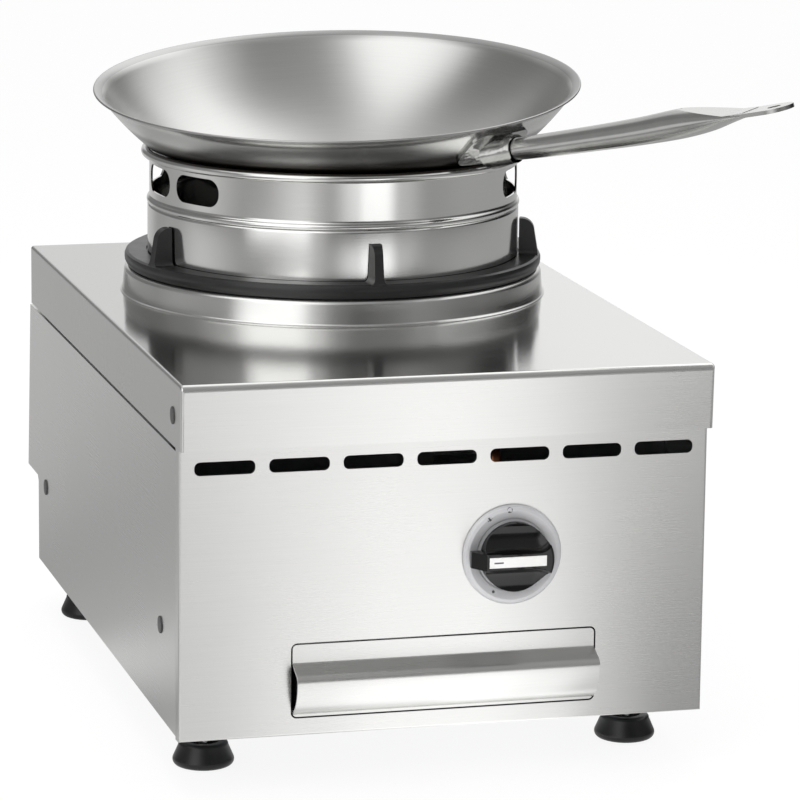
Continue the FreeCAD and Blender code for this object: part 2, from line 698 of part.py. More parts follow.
def valve_plug():
    """Ground plug that turns in the valve, with a keyed socket for the spindle."""
    front, back = VALVE_Y
    plug = rod(10.0, Vector(KNOB_X, front + 8, KNOB_Z), Vector(KNOB_X, back - 6.5, KNOB_Z))
    socket = rod(4.5, Vector(KNOB_X, front, KNOB_Z), Vector(KNOB_X, front + 26, KNOB_Z))
    port = rod(4.0, Vector(KNOB_X + 12, 50 + 8, KNOB_Z), Vector(KNOB_X - 12, 50 + 8, KNOB_Z))
    return plug.cut(socket).cut(port)


def spindle():
    """Steel spindle from the knob, through the panel, into the plug's socket."""
    shaft = rod(4.0, Vector(KNOB_X, 0, KNOB_Z), Vector(KNOB_X, VALVE_Y[0] + 18, KNOB_Z))
    flat = block(KNOB_X - 5, KNOB_X + 5, -1, 15, KNOB_Z + 2.6, KNOB_Z + 6)
    return shaft.cut(flat)


def gas_inlet():
    """Threaded inlet stub that stands out of the rear panel."""
    panel = REAR_LOW_Y - 0.5
    thread = rod(INLET_THREAD_R, Vector(INLET_X, panel + 8, INLET_Z),
                 Vector(INLET_X, panel + 8 + INLET_THREAD_LENGTH, INLET_Z))
    flats = hexagon(30, 7.7, Vector(INLET_X, panel + 0.3, INLET_Z), Y_AXIS)
    tail = rod(12.5, Vector(INLET_X, panel - 22, INLET_Z), Vector(INLET_X, panel + 0.3, INLET_Z))
    bore = rod(PIPE_R, Vector(INLET_X, panel - 30, INLET_Z), Vector(INLET_X, panel + 40, INLET_Z))
    return union([thread, flats, tail]).cut(bore)


def inlet_locknut():
    """Lock nut that clamps the inlet stub on the inside of the rear panel."""
    inside = REAR_LOW_Y - 0.5 - PANEL_SHEET
    nut = hexagon(32, 6, Vector(INLET_X, inside - 6.2, INLET_Z), Y_AXIS)
    return nut.cut(rod(12.5, Vector(INLET_X, inside - 10, INLET_Z), Vector(INLET_X, inside, INLET_Z)))


def supply_pipe():
    """Steel pipe along the right side, from the inlet stub up to the valve's inlet."""
    start = Vector(INLET_X, REAR_LOW_Y - 22.5, INLET_Z)
    corner = Vector(INLET_X, 50, INLET_Z)
    above = Vector(INLET_X, 50, KNOB_Z)
    end = VALVE_INLET + X_AXIS * 8.2
    return bent_tube([start, corner, above, end], 24, PIPE_R - 0.3, PIPE_R - 1.5)


def burner_pipe():
    """Pipe from the valve's outlet up and back to the injector holder."""
    start = Vector(KNOB_X, 60, KNOB_Z + 28.2)
    up = Vector(KNOB_X, 60, TUBE_Z)
    back = Vector(KNOB_X, 120, TUBE_Z)
    across = Vector(0, 120, TUBE_Z)
    end = Vector(0, INJECTOR_Y - 16.2, TUBE_Z)
    return bent_tube([start, up, back, across, end], 14, 5.0, 3.9)


def union_nuts():
    """Union nuts: one on the supply pipe, one at each end of the burner pipe."""
    supply = hexagon(26, 14, VALVE_INLET + X_AXIS * 8.2, X_AXIS)
    supply = supply.cut(rod(PIPE_R - 0.3, VALVE_INLET, VALVE_INLET + X_AXIS * 40))
    low = hexagon(19, 11, Vector(KNOB_X, 60, KNOB_Z + 28.2))
    low = low.cut(rod(5.0, Vector(KNOB_X, 60, KNOB_Z), Vector(KNOB_X, 60, KNOB_Z + 60)))
    high = hexagon(19, 11, Vector(0, INJECTOR_Y - 16.2, TUBE_Z), Y_AXIS * -1)
    high = high.cut(rod(5.0, Vector(0, INJECTOR_Y - 40, TUBE_Z), Vector(0, INJECTOR_Y, TUBE_Z)))
    return group([supply, low, high])


def pilot_tube():
    """Thin tube from the valve's left side to the pilot."""
    low_z = KNOB_Z - 4
    end = pilot_point(0, PILOT_FOOT.z - 12)
    start = Vector(KNOB_X - 17.2, 50, low_z)
    route = [start, Vector(end.x, 50, low_z), Vector(end.x, end.y, low_z), end]
    return bent_tube(route, 10, 2.0)


def thermocouple_lead():
    """Copper lead from the flame sensor to the valve's magnet unit."""
    end = pilot_point(PILOT_ROW[2], PILOT_FOOT.z - 16)
    start = Vector(KNOB_X, VALVE_Y[1] + 14, KNOB_Z)
    route = [start, Vector(KNOB_X, 126, KNOB_Z), Vector(end.x, 126, KNOB_Z)]
    route += [Vector(end.x, end.y, KNOB_Z), end]
    return bent_tube(route, 9, 1.5)


def magnet_unit():
    """Flame-failure magnet unit screwed into the back of the valve."""
    back = VALVE_Y[1]
    nut = hexagon(22, 5, Vector(KNOB_X, back, KNOB_Z), Y_AXIS)
    can = rod(8, Vector(KNOB_X, back + 5, KNOB_Z), Vector(KNOB_X, back + 14, KNOB_Z))
    return union([nut, can])


def heat_shield():
    """Sheet between the burner and the controls, folded at its ends, with windows for the tubes."""
    half = CASING_HALF - PANEL_SHEET
    low, high = 116, 250
    sheet = block(-half, half, 104, 105.2, low, high)
    ends = [block(x, x + 1.2, 104, 118, low, high) for x in (-half, half - 1.2)]
    window = block(KNOB_X - 34, KNOB_X + 12, 100, 110, KNOB_Z - 34, high + 1)
    pilot_x = pilot_point(0, 0).x
    pilot_window = block(pilot_x - 9, pilot_x + 9, 100, 110, KNOB_Z - 14, KNOB_Z + 6)
    return union([sheet] + ends).cut(group([window, pilot_window]))


# ---- drip tray ----
def drip_tray():
    """Deep-drawn tray with a rim, open at the top."""
    low, high = TRAY_Z
    front = FRONT_Y + PANEL_SHEET + 1.6
    back = front + TRAY_DEPTH_Y
    tray = block(-TRAY_HALF, TRAY_HALF, front, back, low, high)
    corners = [e for e in tray.Edges if e.BoundBox.ZLength > 5]
    tray = tray.makeFillet(10, corners)
    floor_edges = [e for e in tray.Edges if e.BoundBox.ZMax < low + 0.1]
    tray = tray.makeFillet(6, floor_edges)
    cavity = block(-TRAY_HALF + TRAY_SHEET, TRAY_HALF - TRAY_SHEET, front + TRAY_SHEET, back - TRAY_SHEET,
                   low + TRAY_SHEET, high + 1)
    corners = [e for e in cavity.Edges if e.BoundBox.ZLength > 5]
    cavity = cavity.makeFillet(9, corners)
    floor_edges = [e for e in cavity.Edges if e.BoundBox.ZMax < low + TRAY_SHEET + 0.1]
    cavity = cavity.makeFillet(5, floor_edges)
    return tray.cut(cavity)


def tray_front():
    """Folded tray front: a flat strip, a slanted grip with a rounded nose, a curved return."""
    low, high = TRAY_FRONT_Z
    sheet = PANEL_SHEET
    nose_y, nose_r = TRAY_NOSE
    belly_y, belly_r = TRAY_BELLY
    skin = [(FRONT_Y, high), (FRONT_Y, high - 14.3)]
    skin += arc_points(nose_y, TRAY_NOSE_Z, nose_r, 112, 180, 5)
    skin += arc_points(belly_y, TRAY_NOSE_Z, belly_r, 180, 243.6, 7)[1:] + [(FRONT_Y, low)]
    inner = [(FRONT_Y + sheet, low)]
    inner += arc_points(belly_y, TRAY_NOSE_Z, belly_r - sheet, 245.4, 180, 7)
    inner += arc_points(nose_y, TRAY_NOSE_Z, nose_r - sheet, 180, 112, 5)[1:]
    inner += [(FRONT_Y + sheet, high - 15.3), (FRONT_Y + sheet, high)]
    front = profile_along_x(skin + inner, -TRAY_FRONT_HALF, TRAY_FRONT_HALF)
    corners = rounded_slab(2 * TRAY_FRONT_HALF, high - low, 3.5, 60)
    front = front.common(moved(corners, 0, -30, (low + high) / 2))
    back = FRONT_Y + sheet
    ties = [
        block(-TRAY_HALF + 12, TRAY_HALF - 12, back, back + 1.6, z0, z1)
        for z0, z1 in ((low + 1, low + 16), (high - 14, TRAY_Z[1]))
    ]
    return union([front] + ties)


def tray_rivets():
    """Four rivets between the tray and its front."""
    start_y = FRONT_Y + PANEL_SHEET + 1.6 + TRAY_SHEET
    places = [Vector(x, start_y, TRAY_Z[0] + 10.5) for x in (-90, -32, 32, 90)]
    return group(Part.makeCylinder(3.2, 1.4, p, Y_AXIS) for p in places)


def tray_runner(side):
    """Angle runner on the base plate: the tray slides on its ledge, beside its wall."""
    wall = block(TRAY_HALF + 3, TRAY_HALF + 4.5, FRONT_Y + 6, 540, BASE_Z + 2, 92)
    ledge = block(TRAY_HALF - 12, TRAY_HALF + 4.5, FRONT_Y + 6, 540, 56.0, 57.5)
    foot = block(TRAY_HALF + 3, TRAY_HALF + 16, FRONT_Y + 6, 540, BASE_Z + 2, BASE_Z + 3.5)
    stop = block(TRAY_HALF - 12, TRAY_HALF + 4.5, 538.5, 540, 56.0, 80)
    runner = union([wall, ledge, foot, stop])
    return runner if side > 0 else runner.mirror(Vector(0, 0, 0), X_AXIS)


# ---- control knob ----
def dial():
    """Dished dial ring on the front panel around the knob."""
    face = FRONT_Y - 0.15
    outline = [(13, face), (DIAL_R, face), (DIAL_R, face - 1.6), (DIAL_R - 1.6, face - 3.6)]
    outline += [(DIAL_R - 4, face - 4.2), (27.5, face - 2.4), (26.6, face - 1.4), (13, face - 1.4)]
    return spun_about_y(outline, KNOB_X, KNOB_Z)


def knob():
    """Round knob: two scooped flanks leave a grip ridge, with its pointer at nine o'clock."""
    middle = Vector(KNOB_X, 0, KNOB_Z)
    body = rod(KNOB_R, middle + Y_AXIS * KNOB_BACK_Y, middle + Y_AXIS * KNOB_CROWN_Y)
    rim = [e for e in body.Edges if abs(e.BoundBox.Center.y - KNOB_CROWN_Y) < 0.01]
    body = body.makeFillet(2.0, rim)
    scoops = []
    for side in (-1, 1):
        lift = side * (KNOB_GRIP_HALF + KNOB_SCOOP_R)
        end = middle + Vector(KNOB_SCOOP_END, KNOB_CROWN_Y + 1.0, lift)
        scoops.append(rod(KNOB_SCOOP_R, end - X_AXIS * 70, end))
        scoops.append(Part.makeSphere(KNOB_SCOOP_R, end))
    hub = rod(7.5, middle + Y_AXIS * KNOB_BACK_Y, middle + Y_AXIS * 15)
    bore = rod(4.05, middle - Y_AXIS * 0.1, middle + Y_AXIS * 20)
    recess_half = KNOB_INSERT_HALF + 0.1
    recess = block(*KNOB_INSERT_X, KNOB_CROWN_Y - 1, KNOB_CROWN_Y + 1.2,
                   KNOB_Z - recess_half, KNOB_Z + recess_half)
    return union([body.cut(group(scoops)), pointer(), hub]).cut(group([bore, recess]))


def pointer():
    """The knob's pointer: the ridge's left end, which slopes back past the knob's rim."""
    back = 3.4
    half = KNOB_GRIP_HALF + 0.6
    outline = [(KNOB_X - 15, back), (KNOB_POINTER_X, back), (KNOB_POINTER_X, back - 3.4)]
    outline += [(KNOB_INSERT_X[0] - 1.6, KNOB_CROWN_Y + 0.3), (KNOB_X - 15, KNOB_CROWN_Y + 0.3)]
    corners = [Vector(x, y, KNOB_Z - half) for x, y in outline]
    return Part.Face(Part.makePolygon(corners + corners[:1])).extrude(Z_AXIS * (2 * half))


def knob_insert():
    """Pale bar let into the crown of the knob's grip."""
    x0, x1 = KNOB_INSERT_X
    front = KNOB_CROWN_Y - KNOB_INSERT_PROUD
    bar = block(x0 + 0.1, x1 - 0.1, front, KNOB_CROWN_Y + 1.2,
                KNOB_Z - KNOB_INSERT_HALF, KNOB_Z + KNOB_INSERT_HALF)
    return bar.makeFillet(0.4, [e for e in bar.Edges if e.BoundBox.YMax < front + 0.1])


# ---- lift-off support ring, wok ring and wok ----
def support_ring():
    """Cast-iron ring that drops into the collar, with five fins that centre the wok ring."""
    low, high = SUPPORT_BOTTOM_Z, SUPPORT_TOP_Z
    spigot_r = COLLAR_BORE_R - 2.5
    outline = [(SUPPORT_BORE_R, low - 5), (spigot_r, low - 5), (spigot_r, low), (SUPPORT_R - 3.1, low)]
    outline += [(SUPPORT_R - 1.9, low + 1), (SUPPORT_R - 0.3, low + 4), (SUPPORT_R, low + 6)]
    outline += [(SUPPORT_R, high - 3.2), (SUPPORT_R - 0.9, high - 1.0)]
    outline += [(SUPPORT_R - 3.0, high), (RING_R + 1.2, high), (RING_R + 1.2, RING_BOTTOM_Z - CLEAR)]
    outline += [(SUPPORT_BORE_R, RING_BOTTOM_Z - CLEAR)]
    ring = spun(outline)
    lugs = []
    for k in range(LUG_COUNT):
        lugs.append(turned(lug(), BURNER_AXIS, Z_AXIS, LUG_FIRST_DEG + 360.0 * k / LUG_COUNT))
    return union([ring] + lugs)


def lug_half(r, z):
    """Half the thickness of a lug, less towards its top and its outer edge."""
    return 5.9 - 0.15 * (r - RING_R - 1.2) - 0.04 * (z - SUPPORT_TOP_Z)


def lug():
    """One fin along +X from the burner axis: thick at its foot, leaning in to a rounded crest."""
    inner = RING_R + 1.2
    low, high = SUPPORT_TOP_Z - 4, LUG_TOP_Z
    profile = [(inner, low), (LUG_FOOT_R, low)]
    profile += arc_points(LUG_TOP_R - LUG_CREST, high - LUG_CREST, LUG_CREST, 8, 90, 9)
    profile += [(inner, high)]
    corners = [Vector(r, BURNER_Y - 8, z) for r, z in profile]
    fin = Part.Face(Part.makePolygon(corners + corners[:1])).extrude(Vector(0, 16, 0))
    ends = []
    for r in (inner, LUG_FOOT_R):
        foot, top = lug_half(r, low), lug_half(r, high)
        end = [Vector(r, BURNER_Y + y, z) for y, z in ((-foot, low), (foot, low), (top, high), (-top, high))]
        ends.append(Part.makePolygon(end + end[:1]))
    return fin.common(Part.makeLoft(ends, True, True))


def wok_ring():
    """Spun ring: turned-in foot, straight wall, bead, necked wall with vents, rolled rim."""
    low = RING_BOTTOM_Z
    bead = RING_BEAD_Z
    sheet = RING_SHEET
    neck = RING_NECK_R
    outer = [(RING_R - 8, low), (RING_R - 0.8, low), (RING_R, low + 0.8), (RING_R, bead - 4.2)]
    outer += [(RING_R - 1.0, bead - 2.9)]
    outer += arc_points(RING_R - 1.0, bead, 2.0, -80, 80, 6)
    outer += [(neck + 0.1, bead + 2.9), (neck, bead + 4.2), (neck, RIM_ROLL_Z)]
    inner = [(neck - sheet, RIM_ROLL_Z), (neck - sheet, bead + 3), (RING_R - sheet - 0.6, bead - 3)]
    inner += [(RING_R - sheet, bead - 5), (RING_R - sheet, low + sheet), (RING_R - 8, low + sheet)]
    body = spun(outer + inner)
    slot_low, slot_high = RING_SLOT_Z
    chord = 2 * neck * math.sin(math.radians(RING_SLOT_DEG / 2))
    slot = rounded_slab(chord, slot_high - slot_low, 8.6, 30)
    slot = moved(slot, 0, BURNER_Y - neck - 15, (slot_low + slot_high) / 2)
    half_step = (RING_SLOT_DEG + RING_SLOT_GAP_DEG) / 2
    cuts = []
    for k in range(RING_PAIR_COUNT):
        pair = 180 + (k - (RING_PAIR_COUNT - 1) / 2) * RING_PAIR_PITCH_DEG
        for step in (-half_step, half_step):
            cuts.append(turned(slot, BURNER_AXIS, Z_AXIS, pair + step))
    body = body.cut(group(cuts))
    roll = Part.makeTorus(RIM_ROLL_R, RIM_ROLL_TUBE, Vector(0, BURNER_Y, RIM_ROLL_Z), Z_AXIS)
    return body.fuse(roll).removeSplitter()


def tilted(shape):
    """Leans a shape with the wok: towards the cook, then to the left."""
    leaned = turned(shape, WOK_CENTRE, X_AXIS, WOK_TILT_TO_COOK_DEG)
    return turned(leaned, WOK_CENTRE, Y_AXIS, -WOK_TILT_SIDE_DEG)


def wok_bowl():
    """Spun wok: a ball-shaped dish with a short flatter lip at its rim."""
    lip_start = WOK_RIM_R - WOK_LIP
    slope = math.radians(WOK_LIP_SLOPE_DEG)
    lip_rise = WOK_LIP * math.tan(slope)
    inner_r = WOK_SPHERE_R - WOK_SHEET
    centre = WOK_CENTRE

    def ball(radius, r):
        return centre + Vector(r, 0, -math.sqrt(radius**2 - r**2))

    def arc(radius, r_end):
        return Part.Arc(ball(radius, 0), ball(radius, r_end * 0.55), ball(radius, r_end)).toShape()

    outer_end = ball(WOK_SPHERE_R, lip_start)
    inner_end = ball(inner_r, lip_start - 1.0)
    rim_low = outer_end + Vector(WOK_LIP, 0, lip_rise)
    rim_high = rim_low + Vector(-0.6, 0, WOK_SHEET)
    edges = [arc(WOK_SPHERE_R, lip_start)]
    edges.append(Part.LineSegment(outer_end, rim_low).toShape())
    edges.append(Part.LineSegment(rim_low, rim_high).toShape())
    edges.append(Part.LineSegment(rim_high, inner_end).toShape())
    edges.append(arc(inner_r, lip_start - 1.0))
    edges.append(Part.LineSegment(ball(inner_r, 0), ball(WOK_SPHERE_R, 0)).toShape())
    outline = Part.Wire(Part.__sortEdges__(edges))
    dish = Part.Face(outline).revolve(centre, Z_AXIS, 360)
    return tilted(dish)


def handle_frame(shape):
    """Rolls a shape about the handle's own line, then turns it into the handle's direction."""
    start = handle_line(*HANDLE_SECTIONS[0][:2])
    rolled = turned(shape, start, handle_line(*HANDLE_TAB[1]) - start, HANDLE_ROLL_DEG)
    return turned(rolled, BURNER_AXIS, Z_AXIS, HANDLE_DEG)


def oval(place, along, across, height):
    """A closed oval of one width and height, square to the handle's line."""
    side = Vector(0, 1, 0)
    up = along.cross(side).normalize() * -1
    points = []
    for k in range(16):
        turn = 2 * math.pi * k / 16
        points.append(place + side * (across / 2 * math.cos(turn)) + up * (height / 2 * math.sin(turn)))
    curve = Part.BSplineCurve()
    curve.interpolate(points, PeriodicFlag=True)
    return Part.Wire(curve.toShape())


def handle_line(rho, z):
    return Vector(rho, BURNER_Y, z)


def handle_loft(wall):
    """The handle's outside, or its hollow one wall further in."""
    along = (handle_line(*HANDLE_TAB[1]) - handle_line(*HANDLE_SECTIONS[0][:2])).normalize()
    rings = []
    for rho, z, width, thickness in HANDLE_SECTIONS:
        rings.append(oval(handle_line(rho, z), along, width - 2 * wall, thickness - 2 * wall))
    return Part.makeLoft(rings, True, False)


def pressed_away():
    """The space over the handle's end that pressing has flattened."""
    ceiling = 520.0
    outline = list(HANDLE_FLAT) + [(HANDLE_FLAT[-1][0], ceiling), (HANDLE_FLAT[0][0], ceiling)]
    corners = [Vector(rho, BURNER_Y - 30, z) for rho, z in outline]
    return Part.Face(Part.makePolygon(corners + corners[:1])).extrude(Y_AXIS * 60)


def wok_handle():
    """Long hollow handle, pressed flat at its end into a tab with a hanging hole."""
    hollow_end = HANDLE_FLAT[0][0] + 6
    keep = block(HANDLE_SECTIONS[0][0] + 2, hollow_end, BURNER_Y - 30, BURNER_Y + 30, 380, 520)
    tube = handle_loft(0.0).cut(pressed_away()).cut(handle_loft(HANDLE_WALL).common(keep))
    start = handle_line(*HANDLE_TAB[0])
    end = handle_line(*HANDLE_TAB[1])
    length = (end - start).Length
    half, sheet = HANDLE_TAB_HALF, HANDLE_TAB_SHEET
    tab = Part.makeBox(length, 2 * half, sheet, Vector(0, -half, -sheet / 2))
    tab = tab.fuse(Part.makeCylinder(half, sheet, Vector(length, 0, -sheet / 2)))
    tab.Placement = FreeCAD.Placement(start, FreeCAD.Rotation(X_AXIS, end - start))
    hole = Part.makeCylinder(HANDLE_HOLE_R, 30, Vector(length, 0, -15))
    hole.Placement = tab.Placement
    return handle_frame(union([tube, tab]).cut(hole))


def handle_bracket():
    """Curved plate welded on the wok's outside, with a cone that holds the handle."""
    outer = Part.makeSphere(WOK_SPHERE_R + BRACKET_SHEET, WOK_CENTRE)
    inner = Part.makeSphere(WOK_SPHERE_R + 0.02, WOK_CENTRE)
    drop = WOK_CENTRE_Z - BRACKET_Z
    reach = math.sqrt(WOK_SPHERE_R**2 - drop**2)
    depth = 60.0
    patch = rounded_slab(BRACKET_SIZE[0], BRACKET_SIZE[1], BRACKET_CORNER, depth)
    patch.rotate(Vector(0, 0, 0), Z_AXIS, 90)
    patch.rotate(Vector(0, 0, 0), Y_AXIS, math.degrees(math.asin(drop / WOK_SPHERE_R)))
    outwards = Vector(reach, 0, -drop).normalize() * (depth / 3)
    patch = moved(patch, reach + outwards.x, BURNER_Y, BRACKET_Z + outwards.z)
    start = handle_line(*HANDLE_SECTIONS[0][:2])
    along = (handle_line(*HANDLE_TAB[1]) - start).normalize()
    wide = oval(start - along * 8, along, 40, 26)
    narrow = oval(start + along * 14, along, 22.4, 21.4)
    cone = Part.makeLoft([wide, narrow], True, False)
    welded = turned(outer.common(patch), BURNER_AXIS, Z_AXIS, HANDLE_DEG)
    held = handle_frame(cone).fuse(welded).cut(inner)
    return held.cut(handle_frame(handle_loft(0.0))).removeSplitter()


# ---- levelling feet ----
def foot_pad(x, y):
    """Black moulded foot: a cone with a rounded foot edge and a recess for the stud's nut."""
    outline = [(0, 0), (FOOT_R - 4.2, 0)]
    outline += arc_points(FOOT_R - 4.4, 4.6, 4.4, -70, 20, 6)
    outline += [(FOOT_R - 4.4, 15.6)]
    outline += arc_points(FOOT_R - 7.6, 15.2, 3.4, 20, 90, 4)
    outline += [(12.0, 18.6), (10.5, 14.0), (0, 14.0)]
    return spun(outline, Vector(x, y, 0))


def foot_stud(x, y):
    """Threaded stud with its hexagon, standing in the foot's recess."""
    stud = rod(STUD_R, Vector(x, y, 14.1), Vector(x, y, BASE_Z + 22))
    return stud.fuse(hexagon(14, 6, Vector(x, y, 14.1))).removeSplitter()


# ---- every node, in the order of assembly ----
nodes["worktop"] = worktop()
nodes["burner_collar"] = collar()
nodes["front_panel"] = front_panel()
nodes["side_panel_left"] = side_panel(-1)
nodes["side_panel_right"] = side_panel(1)
nodes["rear_panel"] = rear_panel()
nodes["base_plate"] = base_plate()
nodes["foot_bosses"] = foot_bosses()
nodes["worktop_rails"] = worktop_rails()
nodes["side_screws"] = side_screws()
nodes["rear_screws"] = rear_screws()
nodes["heat_shield"] = heat_shield()
nodes["spill_bowl"] = spill_bowl()
nodes["burner_bridge"] = burner_bridge()
nodes["burner_body"] = burner_body()
nodes["burner_cap"] = burner_cap()
nodes["mixing_tube"] = mixing_tube()
nodes["air_shutter"] = air_shutter()
nodes["injector_holder"] = injector_holder()
nodes["injector"] = injector()
nodes["pilot_bracket"] = pilot_bracket()
nodes["pilot_burner"] = pilot_burner()
nodes["thermocouple"] = thermocouple()
nodes["thermocouple_lead"] = thermocouple_lead()
nodes["igniter"] = igniter()
nodes["igniter_wire"] = igniter_wire()
nodes["pilot_tube"] = pilot_tube()
nodes["gas_inlet"] = gas_inlet()
nodes["inlet_locknut"] = inlet_locknut()
nodes["supply_pipe"] = supply_pipe()
nodes["burner_pipe"] = burner_pipe()
nodes["union_nuts"] = union_nuts()
nodes["valve_body"] = valve_body()
nodes["valve_studs"] = valve_studs()
nodes["piezo"] = piezo()
nodes["ignition_lead"] = ignition_lead()
nodes["magnet_unit"] = magnet_unit()
nodes["valve_plug"] = valve_plug()
nodes["spindle"] = spindle()
nodes["dial"] = dial()
nodes["knob"] = knob()
nodes["knob_insert"] = knob_insert()
nodes["tray_runner_left"] = tray_runner(-1)
nodes["tray_runner_right"] = tray_runner(1)
nodes["drip_tray"] = drip_tray()
nodes["tray_front"] = tray_front()
nodes["tray_rivets"] = tray_rivets()
nodes["support_ring"] = support_ring()
nodes["wok_ring"] = wok_ring()
nodes["wok_bowl"] = wok_bowl()
nodes["handle_bracket"] = handle_bracket()
nodes["wok_handle"] = wok_handle()
for number, (foot_x, foot_y) in enumerate(foot_places(), 1):
    nodes[f"foot_pad_{number}"] = foot_pad(foot_x, foot_y)
    nodes[f"foot_stud_{number}"] = foot_stud(foot_x, foot_y)

# ---- the origin goes under the middle of the whole object, and each node is written ----
whole = Part.makeCompound(list(nodes.values())).optimalBoundingBox(False)
shift = Vector(-whole.Center.x, -whole.Center.y, -whole.ZMin)
print("origin shift", round(shift.x, 4), round(shift.y, 4), round(shift.z, 4))
print("extents", round(whole.XLength, 2), round(whole.YLength, 2), round(whole.ZLength, 2))
os.makedirs("parts", exist_ok=True)
for name, shape in nodes.items():
    shape.translate(shift)
    print(name, "valid" if shape.isValid() else "NOT VALID", len(shape.Solids), round(shape.Volume))
    shape.exportStep(f"parts/{name}.step")
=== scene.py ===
# %% [markdown]
# # A table-top gas wok range
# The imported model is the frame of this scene: every piece made here goes where the model says, in
# metres. This first cell loads it and keeps the box that the whole object fills.

import json
import math

import bmesh
import bpy
from mathutils import Matrix, Quaternion, Vector


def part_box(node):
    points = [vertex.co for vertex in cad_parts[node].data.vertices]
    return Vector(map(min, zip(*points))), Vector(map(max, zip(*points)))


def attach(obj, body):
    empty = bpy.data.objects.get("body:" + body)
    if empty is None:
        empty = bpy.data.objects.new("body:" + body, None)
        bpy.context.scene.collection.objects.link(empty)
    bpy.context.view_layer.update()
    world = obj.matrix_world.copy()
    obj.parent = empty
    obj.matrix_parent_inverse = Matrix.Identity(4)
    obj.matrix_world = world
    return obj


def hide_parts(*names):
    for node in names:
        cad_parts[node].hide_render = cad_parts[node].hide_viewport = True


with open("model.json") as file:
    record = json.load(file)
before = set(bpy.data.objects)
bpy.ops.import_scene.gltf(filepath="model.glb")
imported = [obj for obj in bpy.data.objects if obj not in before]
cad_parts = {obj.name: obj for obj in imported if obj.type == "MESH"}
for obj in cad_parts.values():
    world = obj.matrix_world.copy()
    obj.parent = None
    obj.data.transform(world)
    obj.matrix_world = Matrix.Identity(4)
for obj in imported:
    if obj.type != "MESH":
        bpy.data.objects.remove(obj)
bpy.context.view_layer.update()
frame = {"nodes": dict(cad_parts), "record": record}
nodes = frame["nodes"]

# %% [markdown]
# ## Places
# The range was measured in millimetres from three planes: the middle of the casing, the front of
# the worktop and the floor. One function turns such a place into the frame's metres. It takes the
# planes from the worktop's own box, so that nothing here depends on where the origin lies.

# %% Places in millimetres
MM = 0.001
DEPTH = 600.0
WIDTH = 400.0
low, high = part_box("worktop")
MIDDLE_X = (low.x + high.x) / 2
FRONT_Y = high.y - DEPTH * MM


def place(x, y, z):
    """A point given in mm from the casing's middle, the worktop's front and the floor."""
    return Vector((MIDDLE_X + x * MM, FRONT_Y + y * MM, z * MM))


BURNER_Y = 356.4
BURNER = place(0, BURNER_Y, 0)
UP = Vector((0, 0, 1))
print("casing middle", round(MIDDLE_X, 4), "worktop front", round(FRONT_Y, 4))

# %% [markdown]
# ## The camera
# A photograph of a box fixes its camera: the box's edges run to three vanishing points. Azimuth,
# elevation, roll, distance and focal length below were fitted to the corners of the casing. The
# camera's own back direction is built from the two angles, and the small roll turns it about the
# view.

# %% Camera
CAMERA_AZIMUTH = math.radians(-15.101)
CAMERA_ELEVATION = math.radians(11.834)
CAMERA_ROLL = math.radians(0.636)
CAMERA_PLACE = place(-831.367, -2935.692, 926.0)
FOCAL_PIXELS = 4322.02
IMAGE_PIXELS = 800
SENSOR = 36.0


def make_camera():
    """The camera at its place, aimed by its angles and rolled."""
    level = math.cos(CAMERA_ELEVATION)
    back = Vector((
        math.sin(CAMERA_AZIMUTH) * level,
        -math.cos(CAMERA_AZIMUTH) * level,
        math.sin(CAMERA_ELEVATION),
    ))
    turn = (-back).to_track_quat("-Z", "Y") @ Quaternion((0, 0, 1), CAMERA_ROLL)
    data = bpy.data.cameras.new("photo_camera")
    data.sensor_width = SENSOR
    data.lens = FOCAL_PIXELS / IMAGE_PIXELS * SENSOR
    data.clip_end = 30
    camera = bpy.data.objects.new("photo_camera", data)
    camera.matrix_world = Matrix.LocRotScale(CAMERA_PLACE, turn, None)
    bpy.context.scene.collection.objects.link(camera)
    bpy.context.scene.camera = camera
    return camera


camera = make_camera()
print("lens", round(camera.data.lens, 2), "mm")

# %% [markdown]
# ## Helpers for shapes
# Most of this object is spun, folded or drawn sheet. A spun piece is an outline of radius and
# height, turned a full circle by the spin operator. Round stretches of an outline come from an arc
# formula. A slab is a flat outline pushed along a straight way. Every finished mesh is shaded
# smooth, except across edges sharper than a limit, and keeps its place in its vertices.

# %% Shape helpers
ORIGIN = Vector((0, 0, 0))
SAME_PLACE = 0.00001


def arc(r, z, radius, start, end, steps=6):
    """Points (radius, height) on an arc about (r, z), angles in degrees, ends included."""
    points = []
    for k in range(steps + 1):
        turn = math.radians(start + (end - start) * k / steps)
        points.append((r + radius * math.cos(turn), z + radius * math.sin(turn)))
    return points


def finished(name, bm, sharp=35):
    """Writes a bmesh into a new object: smooth shading, sharp across steep edges."""
    mesh = bpy.data.meshes.new(name)
    bm.to_mesh(mesh)
    bm.free()
    mesh.shade_smooth()
    mesh.set_sharp_from_angle(angle=math.radians(sharp))
    obj = bpy.data.objects.new(name, mesh)
    bpy.context.scene.collection.objects.link(obj)
    return obj


def loop_of(bm, corners):
    """Joins corners into a closed loop of edges."""
    return [bm.edges.new(pair) for pair in zip(corners, corners[1:] + corners[:1])]


